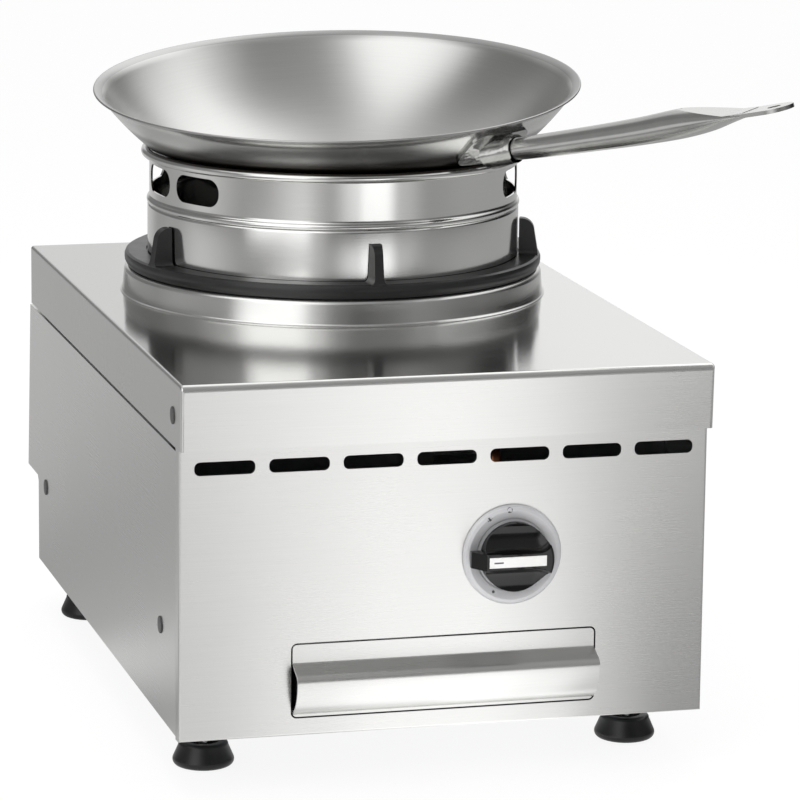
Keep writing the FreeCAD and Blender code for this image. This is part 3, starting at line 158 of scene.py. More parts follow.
def spun(name, outline, centre=BURNER, steps=144, turn=None, sharp=35):
    """Turns a closed (radius, height) outline in mm a full circle about an upright line."""
    bm = bmesh.new()
    corners = [bm.verts.new((r * MM, 0, z * MM)) for r, z in outline]
    edges = loop_of(bm, corners)
    bmesh.ops.spin(bm, geom=corners + edges, cent=ORIGIN, axis=UP,
                   angle=2 * math.pi, steps=steps, use_merge=True)
    bmesh.ops.remove_doubles(bm, verts=bm.verts, dist=SAME_PLACE)
    bmesh.ops.dissolve_degenerate(bm, dist=SAME_PLACE, edges=bm.edges)
    bmesh.ops.recalc_face_normals(bm, faces=bm.faces)
    if turn is not None:
        bm.transform(turn)
    bmesh.ops.translate(bm, verts=bm.verts, vec=centre)
    return finished(name, bm, sharp)


def move_new(bm, grown, way):
    """Moves the new corners of an extrusion, and turns all faces outwards."""
    moved = [item for item in grown["geom"] if isinstance(item, bmesh.types.BMVert)]
    bmesh.ops.translate(bm, verts=moved, vec=way)
    bmesh.ops.recalc_face_normals(bm, faces=bm.faces)


def slab(name, corners, way):
    """A flat outline of corners in metres, pushed along a vector into a solid."""
    bm = bmesh.new()
    face = bm.faces.new([bm.verts.new(corner) for corner in corners])
    grown = bmesh.ops.extrude_face_region(bm, geom=[face], use_keep_orig=True)
    move_new(bm, grown, way)
    return finished(name, bm)


def box_mesh(x0, x1, y0, y1, z0, z1):
    """A bmesh box between two corners given in mm."""
    bm = bmesh.new()
    bmesh.ops.create_cube(bm, size=1)
    bmesh.ops.scale(bm, verts=bm.verts, vec=((x1 - x0) * MM, (y1 - y0) * MM, (z1 - z0) * MM))
    bmesh.ops.translate(bm, verts=bm.verts, vec=place((x0 + x1) / 2, (y0 + y1) / 2, (z0 + z1) / 2))
    return bm


def round_edges(bm, edges, radius, segments=4):
    """Rounds edges by a radius in mm."""
    bmesh.ops.bevel(bm, geom=edges, offset=radius * MM, offset_type="OFFSET", affect="EDGES",
                    segments=segments, profile=0.5, material=-1, clamp_overlap=True)


def edges_along(bm, axis):
    """The straight edges of a box that run along one axis: 0 for X, 1 for Y, 2 for Z."""
    found = []
    for edge in bm.edges:
        run = edge.verts[1].co - edge.verts[0].co
        if abs(run[axis]) > 0.99 * run.length:
            found.append(edge)
    return found


print("shape helpers ready")

# %% [markdown]
# ## Modifiers that are applied at once
# Holes are cut with a Boolean modifier, sheet gets its thickness from Solidify, and cut edges get
# a small Bevel. A weighted normal at the end keeps large flat faces flat, so that a brushed sheet
# reflects like one. All of them are applied, so a finished piece is one plain mesh.

# %% Modifier helpers
def settle(obj):
    """Applies every modifier of a piece."""
    graph = bpy.context.evaluated_depsgraph_get()
    mesh = bpy.data.meshes.new_from_object(obj.evaluated_get(graph))
    obj.modifiers.clear()
    obj.data = mesh
    return obj


def combined(obj, tools, operation="DIFFERENCE"):
    """Cuts tools out of a piece, or joins them to it, and removes the tools."""
    for tool in tools:
        change = obj.modifiers.new("solid", "BOOLEAN")
        change.operation = operation
        change.solver = "EXACT"
        change.object = tool
    settle(obj)
    for tool in tools:
        bpy.data.objects.remove(tool)
    return obj


def softened(obj, radius, angle=30, segments=2):
    """Rounds the sharp edges of a piece by a radius in mm, then weights its normals by area."""
    if radius:
        bevel = obj.modifiers.new("round", "BEVEL")
        bevel.width = radius * MM
        bevel.segments = segments
        bevel.limit_method = "ANGLE"
        bevel.angle_limit = math.radians(angle)
        bevel.harden_normals = False
    weighted = obj.modifiers.new("flat faces", "WEIGHTED_NORMAL")
    weighted.keep_sharp = True
    weighted.weight = 100
    return settle(obj)


def thickened(obj, sheet, offset=-1.0):
    """Gives an open sheet its thickness in mm, inwards unless told otherwise."""
    solid = obj.modifiers.new("sheet", "SOLIDIFY")
    solid.thickness = sheet * MM
    solid.offset = offset
    solid.use_even_offset = True
    return settle(obj)


def rod_tool(radius, z0, z1, centre=ORIGIN, steps=48):
    """A plain upright cylinder in mm about a centre in metres, to cut a round hole."""
    return spun("rod_tool", [(0, z0), (radius, z0), (radius, z1), (0, z1)], centre, steps)


def slot_tool(centre, width, height, corner, depth=12):
    """A rounded bar that runs along Y, to cut one slot."""
    x, y, z = centre
    bm = box_mesh(x - width / 2, x + width / 2, y - depth / 2, y + depth / 2,
                  z - height / 2, z + height / 2)
    round_edges(bm, edges_along(bm, 1), corner, 8)
    return finished("slot_tool", bm)


print("modifier helpers ready")

# %% [markdown]
# ## Helpers for materials
# Colours are written as the sRGB hex values that the eye knows, and turned to the linear values
# that shaders use by one function. Another adds a node with its settings and its links, and short
# ones stand for the nodes that come up again and again: arithmetic, ranges, mixes and noise.

# %% Material helpers
def colour(code):
    """An sRGB hex colour as linear RGBA."""
    channels = [int(code[k:k + 2], 16) / 255 for k in (1, 3, 5)]
    return tuple(c / 12.92 if c <= 0.04045 else ((c + 0.055) / 1.055) ** 2.4 for c in channels) + (1,)


def add(tree, kind, inputs=None, **settings):
    """Adds a node. An input is a value, or the output socket that feeds it."""
    node = tree.nodes.new(kind)
    for name, value in settings.items():
        setattr(node, name, value)
    for name, value in (inputs or {}).items():
        if isinstance(value, bpy.types.NodeSocket):
            tree.links.new(value, node.inputs[name])
        else:
            node.inputs[name].default_value = value
    return node


def shader(name, **values):
    """A new material: its Principled node has these values. Returns material, tree and node."""
    material = bpy.data.materials.new(name)
    material.use_nodes = True
    tree = material.node_tree
    tree.nodes.clear()
    principled = add(tree, "ShaderNodeBsdfPrincipled")
    for socket, value in values.items():
        principled.inputs[socket.replace("_", " ")].default_value = value
    output = add(tree, "ShaderNodeOutputMaterial")
    tree.links.new(principled.outputs["BSDF"], output.inputs["Surface"])
    return material, tree, principled


def calc(tree, operation, first, second=0.0):
    """The result of one operation on numbers. Each is a value or a socket."""
    return add(tree, "ShaderNodeMath", {0: first, 1: second}, operation=operation).outputs[0]


def vector_calc(tree, operation, first, second=(0, 0, 0)):
    """The result of one operation on vectors: a number for a length or a dot product."""
    node = add(tree, "ShaderNodeVectorMath", {0: first, 1: second}, operation=operation)
    return node.outputs["Value" if operation in ("DOT_PRODUCT", "LENGTH") else "Vector"]


def axes_of(tree, vector):
    """The three parts of a vector."""
    return add(tree, "ShaderNodeSeparateXYZ", {"Vector": vector}).outputs


def ranged(tree, value, start, end, to=(0.0, 1.0), smooth=False):
    """A value's way from start to end as a way between two others, with soft ends if smooth."""
    node = add(tree, "ShaderNodeMapRange", {
        "Value": value, "From Min": start, "From Max": end, "To Min": to[0], "To Max": to[1],
    })
    node.interpolation_type = "SMOOTHSTEP" if smooth else "LINEAR"
    return node.outputs["Result"]


def blend(tree, factor, first, second):
    """Mixes two colours, each a socket or linear RGBA."""
    mix = add(tree, "ShaderNodeMix", {"Factor": factor, "A": first, "B": second}, data_type="RGBA")
    return mix.outputs["Result"]


def roughened(tree, principled, pattern, start, end):
    """Lets a pattern of 0 to 1 move the roughness between two values."""
    tree.links.new(ranged(tree, pattern, 0.0, 1.0, (start, end)), principled.inputs["Roughness"])


def tinted(tree, principled, pattern, first, second):
    """Lets a pattern of 0 to 1 mix the base colour from two hex colours."""
    mix = blend(tree, pattern, colour(first), colour(second))
    tree.links.new(mix, principled.inputs["Base Color"])


def raised(tree, principled, pattern, distance):
    """Lets a pattern of 0 to 1 stand up by a distance in mm."""
    bump = add(tree, "ShaderNodeBump", {"Height": pattern, "Distance": distance * MM, "Strength": 1.0})
    tree.links.new(bump.outputs["Normal"], principled.inputs["Normal"])


def noise(tree, vector, grain, detail=2.0, roughness=0.5):
    """A noise whose grains are a size in mm, along its vector in metres."""
    node = add(tree, "ShaderNodeTexNoise", {
        "Vector": vector, "Scale": 1 / (grain * MM), "Detail": detail, "Roughness": roughness,
    })
    return node.outputs["Fac"]


def object_place(tree):
    """The Object coordinates: the frame's metres, because every piece sits at the origin."""
    return add(tree, "ShaderNodeTexCoord").outputs["Object"]


print("material helpers ready")

# %% [markdown]
# ## Brushed stainless sheet
# The casing is stainless sheet with a brushed finish: an abrasive belt leaves fine parallel
# scratches, about 0.2 mm apart and several centimetres long. They spread a reflection across the
# grain and leave it sharper along it, which is anisotropy. The tangent is the direction across the
# grain, found from the face normal, and the scratches are noise that is stretched along the grain.
# A scratch of 0.2 mm is too fine to show from three metres, so it is drawn at 0.7 mm.

# %% Brushed steel
SCRATCH_GAP = 0.7
SCRATCH_LENGTH = 60.0
SCRATCH_DEPTH = 0.012
CLOUD_SIZE = 90.0


def across_grain(tree, along):
    """The tangent across a grain: square to the face's normal and to the direction along it."""
    normal = add(tree, "ShaderNodeNewGeometry").outputs["Normal"]
    return vector_calc(tree, "CROSS_PRODUCT", normal, along)


def brushed_sheet(name, grain, stretch, tones=("#dcdcda", "#e6e6e4"), rough=(0.26, 0.34),
                  anisotropic=0.75):
    """Brushed stainless sheet: grain is its direction, stretch how the noise is squeezed."""
    material, tree, principled = shader(name, Metallic=1.0, Anisotropic=anisotropic)
    tree.links.new(across_grain(tree, grain), principled.inputs["Tangent"])
    where = object_place(tree)
    fine = add(tree, "ShaderNodeMapping", {"Vector": where, "Scale": stretch})
    scratches = noise(tree, fine.outputs["Vector"], SCRATCH_GAP, 3.0, 0.65)
    clouds = noise(tree, where, CLOUD_SIZE, 1.0)
    tinted(tree, principled, scratches, *tones)
    roughened(tree, principled, calc(tree, "MULTIPLY", scratches, clouds), *rough)
    raised(tree, principled, scratches, SCRATCH_DEPTH)
    return material


ALONG = SCRATCH_GAP / SCRATCH_LENGTH
sheet_x = brushed_sheet("stainless_sheet_brushed_across", (1, 0, 0.02), (ALONG, 1, 1))
sheet_y = brushed_sheet("stainless_sheet_brushed_along", (0.01, 1, 0.01), (1, ALONG, 1))
worktop_steel = brushed_sheet("stainless_worktop_brushed_fine", (1, 0, 0.02), (ALONG, 1, 1),
                              ("#dadad8", "#e2e2e0"), (0.11, 0.16), 0.6)
print("made", sheet_x.name, sheet_y.name, "and", worktop_steel.name)

# %% [markdown]
# ## Spun and turned stainless
# The collar and the bowl are spun on a lathe and finished while they turn, so their grain runs in
# circles about their axis. The direction along the grain is square to the axis and to the spoke
# from the axis, and the scratches are noise of radius and height that hardly changes with angle.

# %% Spun steel
ANGLE_SHARE = 0.004


def round_grain(tree, centre, axis=UP):
    """For grain in circles: the tangent across it, and a vector of (radius, height, angle)."""
    spoke = vector_calc(tree, "SUBTRACT", object_place(tree), centre)
    around = vector_calc(tree, "CROSS_PRODUCT", axis, spoke)
    parts = axes_of(tree, spoke)
    angle = calc(tree, "ARCTAN2", parts["Y"], parts["X"])
    rings = add(tree, "ShaderNodeCombineXYZ", {
        "X": vector_calc(tree, "LENGTH", around),
        "Y": vector_calc(tree, "DOT_PRODUCT", spoke, axis),
        "Z": calc(tree, "MULTIPLY", angle, ANGLE_SHARE),
    })
    return across_grain(tree, around), rings.outputs["Vector"]


def turned_steel(name, centre, tones, rough, anisotropic, axis=UP, gap=0.8, lift=0.01):
    """Stainless finished on a lathe, with its grain in circles about an axis."""
    material, tree, principled = shader(name, Metallic=1.0, Anisotropic=anisotropic)
    across, rings = round_grain(tree, centre, axis)
    tree.links.new(across, principled.inputs["Tangent"])
    lines = noise(tree, rings, gap, 3.0, 0.6)
    tinted(tree, principled, lines, *tones)
    roughened(tree, principled, lines, *rough)
    raised(tree, principled, lines, lift)
    return material


RING_TONES = ("#d6d6d4", "#dededc")
collar_steel = turned_steel("stainless_spun_satin", BURNER, RING_TONES, (0.2, 0.27), 0.65)
bright_ring = turned_steel("stainless_spun_polished", BURNER, RING_TONES, (0.13, 0.17), 0.4, lift=0.004)
print("made", collar_steel.name, "and", bright_ring.name)

# %% [markdown]
# ## The wok's three finishes
# A wok of this kind is satin inside, where the lathe's lines stay visible, and polished outside.
# Outside it is painted darker from the bottom up, a painted shade for the dark that it mirrors
# there. Its lip is rougher, and its darker tone is a painted shade for its greyer reflection. Its axis
# leans, so its circles are drawn about the leaning axis. The ball that the dish is part of has its
# centre above the ring, as high as the seat on the rolled rim asks for.

# %% Wok place and finishes
WOK_SPHERE_R = 232.0
WOK_SHEET = 1.8
RIM_ROLL_R = 148.5
RIM_ROLL_Z = 416.7
RIM_ROLL_TUBE = 3.75
WOK_GAP = 0.4
# Painted shade: below these heights the outside darkens to this tone.
DARKENED_HEIGHTS = (-159.0, -150.0)
PAINTED_SHADE_TONE = "#3c3834"
WOK_TILT_TO_COOK = math.radians(5.05)
WOK_TILT_SIDE = math.radians(2.45)

WOK_SEAT = WOK_SPHERE_R + RIM_ROLL_TUBE + WOK_GAP
WOK_CENTRE_Z = RIM_ROLL_Z + math.sqrt(WOK_SEAT ** 2 - RIM_ROLL_R ** 2)
WOK_CENTRE = place(0, BURNER_Y, WOK_CENTRE_Z)
WOK_LEAN = Matrix.Rotation(-WOK_TILT_SIDE, 4, "Y") @ Matrix.Rotation(WOK_TILT_TO_COOK, 4, "X")
WOK_AXIS = WOK_LEAN @ UP

wok_satin = turned_steel("stainless_wok_satin", WOK_CENTRE, ("#c9c9c7", "#d4d4d2"), (0.26, 0.34),
                         0.75, WOK_AXIS, gap=1.0)
wok_bright = turned_steel("stainless_wok_polished", WOK_CENTRE, ("#d6d6d4", "#e0e0de"), (0.2, 0.25),
                          0.3, WOK_AXIS, lift=0.003)
# The lip's darker tones are a painted shade for its greyer reflection; its higher roughness is its own.
wok_lip = turned_steel("stainless_wok_lip", WOK_CENTRE, ("#b0b0ae", "#bababa"), (0.26, 0.34), 0.4,
                       WOK_AXIS)


def painted_low_shade(material):
    """Darkens a finish towards the wok's bottom: a painted shade for the dark that it mirrors there."""
    tree = material.node_tree
    principled = next(node for node in tree.nodes if node.type == "BSDF_PRINCIPLED")
    plain = principled.inputs["Base Color"].links[0].from_socket
    spoke = vector_calc(tree, "SUBTRACT", object_place(tree), WOK_CENTRE)
    height = vector_calc(tree, "DOT_PRODUCT", spoke, WOK_AXIS)
    low, high = DARKENED_HEIGHTS
    unshaded_share = ranged(tree, height, low * MM, high * MM, smooth=True)
    mix = blend(tree, unshaded_share, colour(PAINTED_SHADE_TONE), plain)
    tree.links.new(mix, principled.inputs["Base Color"])


painted_low_shade(wok_bright)
print("wok centre height", round(WOK_CENTRE_Z, 1), "mm")

# %% [markdown]
# ## Cast iron
# The support ring and the burner are sand castings under black enamel: nearly black, satin, with a
# fine orange-peel skin left by the sand, about 1.2 mm from bump to bump.

# %% Cast iron
def cast_iron():
    """Enamelled iron: sand bumps all over, and patches in its tone and gloss."""
    material, tree, principled = shader("cast_iron_enamelled", Metallic=0.0, IOR=1.5)
    where = object_place(tree)
    sand = noise(tree, where, 1.2, 3.0, 0.6)
    patches = noise(tree, where, 14.0)
    tinted(tree, principled, patches, "#1c1c1c", "#282828")
    roughened(tree, principled, patches, 0.26, 0.38)
    raised(tree, principled, sand, 0.05)
    return material


iron = cast_iron()
print("made", iron.name)

# %% [markdown]
# ## Plastics and rubber
# The knob is a glossy black moulding, its inlay a pale one, the caps of the screws a satin dark
# one, and the feet black rubber-like plastic. Moulded plastic has no grain, so each one only gets
# the faint unevenness of its mould.

# %% Plastics
def moulded(name, tones, rough, lump=2.0, lift=0.01, **values):
    """A moulded plastic: two close tones, a range of roughness, and a faint unevenness."""
    material, tree, principled = shader(name, IOR=1.49, **values)
    where = object_place(tree)
    skin = noise(tree, where, lump)
    broad = noise(tree, where, 18.0, 1.0)
    tinted(tree, principled, broad, *tones)
    roughened(tree, principled, broad, *rough)
    raised(tree, principled, skin, lift)
    return material


knob_black = moulded("phenolic_black_glossy", ("#060606", "#0a0a0a"), (0.16, 0.22), 6.0, 0.004)
knob_pale = moulded("abs_white_satin", ("#eeeeec", "#f4f4f2"), (0.3, 0.36))
mark_grey = moulded("printing_ink_dark_grey", ("#505050", "#5a5a5a"), (0.5, 0.6))
cap_dark = moulded("nylon_cap_dark", ("#333333", "#3c3c3c"), (0.34, 0.42))
foot_black = moulded("rubber_black_moulded", ("#0b0b0b", "#141414"), (0.3, 0.4), 1.2, 0.012)
box_black = moulded("nylon_housing_black", ("#141414", "#1b1b1b"), (0.45, 0.55))
lead_black = moulded("silicone_sleeve_black", ("#101010", "#181818"), (0.5, 0.62))
print("made seven plastics")

# %% [markdown]
# ## Metals of the hidden parts
# Under the skin there is zinc-plated sheet with its faint spangle, drawn steel and copper tube,
# turned brass, and bright plated steel on the studs of the feet. Each one has its own colour, and
# noise in its roughness for the handling marks.

# %% Other metals
def metal(name, tones, rough, grain, lift=0.006):
    """A plain metal whose tone and roughness vary over grains of a size in mm."""
    material, tree, principled = shader(name, Metallic=1.0)
    marks = noise(tree, object_place(tree), grain)
    tinted(tree, principled, marks, *tones)
    roughened(tree, principled, marks, *rough)
    raised(tree, principled, marks, lift)
    return material


zinc = metal("steel_zinc_plated", ("#9fa3a6", "#b4b8ba"), (0.3, 0.42), 9.0)
drawn_tray = metal("stainless_deep_drawn", ("#c4c4c2", "#d0d0ce"), (0.24, 0.32), 25.0)
brass = metal("brass_turned", ("#b99348", "#caa55a"), (0.22, 0.3), 4.0)
copper = metal("copper_drawn_tube", ("#b3714f", "#c4835f"), (0.26, 0.36), 7.0)
tube_steel = metal("steel_drawn_tube", ("#8d8f90", "#9c9e9f"), (0.3, 0.4), 7.0)
bright = metal("steel_nickel_plated", ("#cfcfcd", "#dadad8"), (0.14, 0.2), 6.0, 0.003)
dial_silver = moulded("dial_silver_lacquer", ("#c9c9cb", "#d6d6d8"), (0.4, 0.5), 0.7, 0.015,
                      Metallic=0.25)
ceramic = moulded("alumina_glazed", ("#e8e6de", "#f0eee8"), (0.12, 0.18))
print("made six metals, a lacquer and a ceramic")

# %% [markdown]
# ## Dressing a piece
# Every finished piece gets its materials and the body that it moves with, and the nodes of the model
# that it stands for are hidden.

# %% Dress
made = []


def dress(obj, body, slot, replaced, *materials):
    """Gives a piece its materials and its body, and hides the nodes that it stands for. The slot is not
    used.
    """
    obj.data.materials.clear()
    for material in materials:
        obj.data.materials.append(material)
    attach(obj, body)
    if replaced:
        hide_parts(*replaced)
    made.append(obj)
    return obj


def polished_copy(name, node, angle=30, bevel=0.0):
    """A copy of a node's mesh: its loose triangles are merged and its flat faces made whole."""
    bm = bmesh.new()
    bm.from_mesh(nodes[node].data)
    bmesh.ops.remove_doubles(bm, verts=bm.verts, dist=0.000005)
    bmesh.ops.dissolve_limit(bm, angle_limit=math.radians(1), verts=bm.verts, edges=bm.edges)
    bmesh.ops.recalc_face_normals(bm, faces=bm.faces)
    return softened(finished(name, bm, angle), bevel, angle=40)


print("ready to dress pieces")

# %% [markdown]
# ## Worktop
# One pressed sheet, 2 mm thick, with an apron folded down on all four sides and a hem turned in
# under it. The front apron leans in by 2 mm, and its top bend is softer (5 mm) than the others
# (2.5 mm), as on the real worktop. The bends' radii are edge weights of one Bevel modifier.

# %% Worktop
WORKTOP_Z = 305.5
APRON_Z = 257.0
APRON_LEAN = 2.0
FRONT_BEND = 5.0
SIDE_BEND = 2.5
HEM = 12.0
WORKTOP_SHEET = 2.0
HOLE_R = 162.9
HOLE_Z = (290.0, 320.0)


def worktop_shell():
    """The apron box, open below, with weights on its bends and the hem turned in."""
    half = WIDTH / 2
    bm = box_mesh(-half, half, 0, DEPTH, APRON_Z, WORKTOP_Z)
    middle = place(0, DEPTH / 2, (APRON_Z + WORKTOP_Z) / 2)
    for vert in bm.verts:
        if vert.co.y < middle.y and vert.co.z < middle.z:
            vert.co.y += APRON_LEAN * MM
    weights = bm.edges.layers.float.new("bevel_weight_edge")
    for edge in bm.edges:
        ends = [vert.co for vert in edge.verts]
        top = all(end.z > middle.z for end in ends)
        front = all(end.y < middle.y for end in ends)
        upright = abs(ends[0].z - ends[1].z) > HEM * MM
        if top and front:
            edge[weights] = 1.0
        elif top or upright:
            edge[weights] = SIDE_BEND / FRONT_BEND
    floor = min(bm.faces, key=lambda face: face.calc_center_median().z)
    bmesh.ops.inset_region(bm, faces=[floor], thickness=HEM * MM, use_even_offset=True)
    bmesh.ops.delete(bm, geom=[floor], context="FACES_ONLY")
    obj = finished("worktop_sheet", bm)
    bends = obj.modifiers.new("bends", "BEVEL")
    bends.width = FRONT_BEND * MM
    bends.limit_method = "WEIGHT"
    bends.segments = 6
    settle(obj)
    return thickened(obj, WORKTOP_SHEET)


worktop_sheet = combined(worktop_shell(), [rod_tool(HOLE_R, *HOLE_Z, BURNER, 144)])
softened(worktop_sheet, 0)
dress(worktop_sheet, "casing", "casing_steel", ["worktop"], sheet_x, worktop_steel)
for face in worktop_sheet.data.polygons:
    face.material_index = int(face.normal.z > 0.9)
print("worktop", len(worktop_sheet.data.polygons), "faces")

# %% [markdown]
# ## Collar
# A spun sheet collar around the burner: a thin flared foot, a wall that leans in, a narrow land and
# an inner wall that goes down through the worktop.

# %% Collar
collar_outline = [(168.9, 305.5), (168.9, 305.9)] + arc(169.3, 308.2, 2.2, 255, 182, 6)
collar_outline += arc(162.0, 321.5, 4.0, 5, 90, 8)
collar_outline += arc(152.5, 322.5, 3.0, 90, 180, 8)
collar_outline += [(149.5, 299.0), (151.5, 299.0), (151.5, 322.3), (152.7, 323.5)]
collar_outline += [(161.7, 323.5), (163.7, 321.1), (164.9, 307.0), (164.9, 305.5)]
collar = spun("collar_spun", collar_outline, steps=192)
dress(collar, "casing", "spun_steel", ["burner_collar"], collar_steel)
print("collar", len(collar.data.polygons), "faces")

# %% [markdown]
# ## Front panel
# A folded sheet of 1.5 mm with returns at its sides and its bottom. It has seven vents, the window
# of the drip tray with a gap of 1.1 mm around the tray's front, and the hole of the valve.

# %% Front panel
PANEL_Y = 12.0
PANEL_HALF = 199.2
PANEL_Z = (39.5, 256.7)
PANEL_SHEET = 1.5
PANEL_FOLD_R = 2.0
RETURN_Y = 22.4
VENT_COUNT = 7
VENT_PITCH = 55.1
VENT_SIZE = (44.8, 10.0)
VENT_Z = 242.0
VENT_CORNER = 4.2
TRAY_HALF = 114.6
TRAY_Z = (53.6, 107.9)
TRAY_GAP = 1.1
WINDOW_CORNER = 4.5
KNOB_X = 50.0
KNOB_Z = 167.4
VALVE_HOLE = 22.0
VALVE_HOLE_CORNER = 10.9


def front_sheet():
    """The folded front, open at its back and its top, with all its openings cut."""
    low_z, high_z = PANEL_Z
    bm = box_mesh(-PANEL_HALF, PANEL_HALF, PANEL_Y, RETURN_Y, low_z, high_z)
    back = max(bm.faces, key=lambda face: face.calc_center_median().y)
    top = max(bm.faces, key=lambda face: face.calc_center_median().z)
    bmesh.ops.delete(bm, geom=[back, top], context="FACES")
    folds = []
    for edge in bm.edges:
        ends = [vert.co for vert in edge.verts]
        at_front = all(end.y < place(0, PANEL_Y + 1, 0).y for end in ends)
        at_top = all(end.z > (high_z - 1) * MM for end in ends)
        if at_front and not at_top:
            folds.append(edge)
    round_edges(bm, folds, PANEL_FOLD_R, 5)
    sheet = thickened(finished("front_sheet", bm), PANEL_SHEET)
    tools = []
    for k in range(VENT_COUNT):
        x = (k - (VENT_COUNT - 1) / 2) * VENT_PITCH
        tools.append(slot_tool((x, PANEL_Y, VENT_Z), *VENT_SIZE, VENT_CORNER))
    window = (2 * (TRAY_HALF + TRAY_GAP), TRAY_Z[1] - TRAY_Z[0] + 2 * TRAY_GAP)
    tools.append(slot_tool((0, PANEL_Y, sum(TRAY_Z) / 2), *window, WINDOW_CORNER))
    tools.append(slot_tool((KNOB_X, PANEL_Y, KNOB_Z), VALVE_HOLE, VALVE_HOLE, VALVE_HOLE_CORNER))
    return softened(combined(sheet, tools), 0.2)


front = dress(front_sheet(), "casing", "casing_steel", ["front_panel"], sheet_x)
print("front panel", len(front.data.polygons), "faces")

# %% [markdown]
# ## Sides and rear
# The side panels are plain folded sheets, the rear one has a step and three rows of vents. Their
# solids are already right, so they are copied with merged faces and rounded at their cut edges.

# %% Side and rear panels
for name in ("side_panel_left", "side_panel_right"):
    dress(polished_copy(name + "_sheet", name, bevel=0.25), "casing", "casing_steel", [name], sheet_y)
rear = polished_copy("rear_panel_sheet", "rear_panel", bevel=0.25)
dress(rear, "casing", "casing_steel", ["rear_panel"], sheet_x)
print("three panels")

# %% [markdown]
# ## Dark caps over the screws
# Three caps on each side: one in the apron, two in the side panel. A cap is a flat disc with a
# round edge and the stem of its screw behind it, spun about the screw.

# %% Side caps
CAP_R = 6.5
CAP_HEIGHT = 1.0
STEM_R = 2.5
STEM_DEPTH = 9.0
CAP_PLACES = ((WIDTH / 2, 27.2, 279.2), (PANEL_HALF, 539.0, 110.8), (PANEL_HALF, 75.0, 112.1))


def side_cap(name, side, x, y, z):
    """One cap, on the left side for -1 and on the right one for 1."""
    edge = CAP_HEIGHT / 2
    outline = [(0, -STEM_DEPTH), (STEM_R, -STEM_DEPTH), (STEM_R, 0), (CAP_R, 0)]
    outline += arc(CAP_R - edge, edge, edge, 0, 90, 6) + [(0, CAP_HEIGHT)]
    turn = Matrix.Rotation(math.radians(90 * side), 4, "Y")
    return spun(name, outline, place(side * x, y, z), 32, turn)


for side in (-1, 1):
    for number, where in enumerate(CAP_PLACES, 1):
        title = f"side_cap_{'left' if side < 0 else 'right'}_{number}"
        dress(side_cap(title, side, *where), "casing", "dark_cap", ["side_screws"], cap_dark)
print("six caps")

# %% [markdown]
# ## Support ring
# A cast-iron ring sits on the collar. Five lugs stand on it and centre the wok ring. A lug is thick
# and flared at its foot, leans in to a rounded crest, and gets thinner outwards. The lugs are
# joined to the ring as one casting, and every edge is softened as a sand casting's is.

# %% Support ring
LUG_COUNT = 5
LUG_FIRST = -91.4
LUG_INNER_R = 148.5
LUG_FOOT_R = 163.7
LUG_TOP_R = 160.4
LUG_CREST = 10.0
LUG_TOP_Z = 366.0
LUG_LOW_Z = 333.3
RING_TOP_Z = 337.3
LUG_FOOT_HALF = 5.9
THINNER_OUT = 0.15
THINNER_UP = 0.04
FLARES = ((0, 2.6), (0.5, 1.7), (1.2, 0.95), (2.2, 0.4), (3.6, 0.1), (5.5, 0))

ring_outline = [(136, 321), (147, 321), (147, 326), (162.4, 326), (163.6, 327), (165.2, 330)]
ring_outline += [(165.5, 332), (165.5, 334.1), (164.6, 336.3), (162.5, 337.3), (148.5, 337.3)]
ring_outline += [(148.5, 336), (136, 336)]


def lug_half(r, z):
    """Half the thickness of a lug in mm, less towards its top and its outer edge."""
    return LUG_FOOT_HALF - THINNER_OUT * (r - LUG_INNER_R) - THINNER_UP * (z - RING_TOP_Z)


def lug_levels():
    """Heights of a lug's sections, with the outer radius and the flare at each."""
    lean = (LUG_FOOT_R - LUG_TOP_R) / (LUG_TOP_Z - LUG_CREST - RING_TOP_Z)
    levels = [(LUG_LOW_Z, LUG_FOOT_R, FLARES[0][1])]
    levels += [(RING_TOP_Z + up, LUG_FOOT_R - lean * up, flare) for up, flare in FLARES]
    crest = arc(LUG_TOP_R - LUG_CREST, LUG_TOP_Z - LUG_CREST, LUG_CREST, 4, 90, 12)
    return levels + [(z, r, 0) for r, z in crest]


def lug(k):
    """One lug: four-cornered sections from its foot to its crest, joined, its ridges rounded."""
    bm = bmesh.new()
    loops = []
    for z, outer, flare in lug_levels():
        corners = []
        for r, side in ((LUG_INNER_R, -1), (outer, -1), (outer, 1), (LUG_INNER_R, 1)):
            corners.append(bm.verts.new(Vector((r, side * (lug_half(r, z) + flare), z)) * MM))
        loops.append(loop_of(bm, corners))
    for first, second in zip(loops, loops[1:]):
        bmesh.ops.bridge_loops(bm, edges=first + second)
    bmesh.ops.holes_fill(bm, edges=loops[0] + loops[-1], sides=0)
    bmesh.ops.recalc_face_normals(bm, faces=bm.faces)
    ridges = [e for e in bm.edges if e.calc_face_angle(0) > math.radians(60)]
    outer_ridges = [e for e in ridges if all(v.co.x > (LUG_INNER_R + 1) * MM for v in e.verts)]
    round_edges(bm, outer_ridges, 1.5, 3)
    turn = Matrix.Rotation(math.radians(LUG_FIRST + 360 * k / LUG_COUNT), 4, "Z")
    bm.transform(Matrix.Translation(BURNER) @ turn)
    return finished("lug_tool", bm, 50)


support = combined(spun("support_ring_cast", ring_outline, steps=192),
                   [lug(k) for k in range(LUG_COUNT)], "UNION")
softened(support, 0.7, angle=25, segments=3)
dress(support, "pan_support", "cast_iron", ["support_ring"], iron)
print("support ring", len(support.data.polygons), "faces")

# %% [markdown]
# ## Wok ring
# A spun ring: a foot turned in, a straight wall, a bead, a wall that is a little narrower, and a
# rolled rim. Ten slots in five pairs let the burnt gas out at the back and the sides.

# %% Wok ring
RIM_ROLL = (RIM_ROLL_R, RIM_ROLL_Z, RIM_ROLL_TUBE)
RING_SLOT = (49.1, 21.5)
RING_SLOT_CORNER = 10.0
RING_SLOT_Z = 398.65
RING_PAIRS = 5
RING_PAIR_STEP = 53.7
RING_SLOT_HALF_STEP = 11.75
RING_SLOT_REACH = (130.0, 165.0)

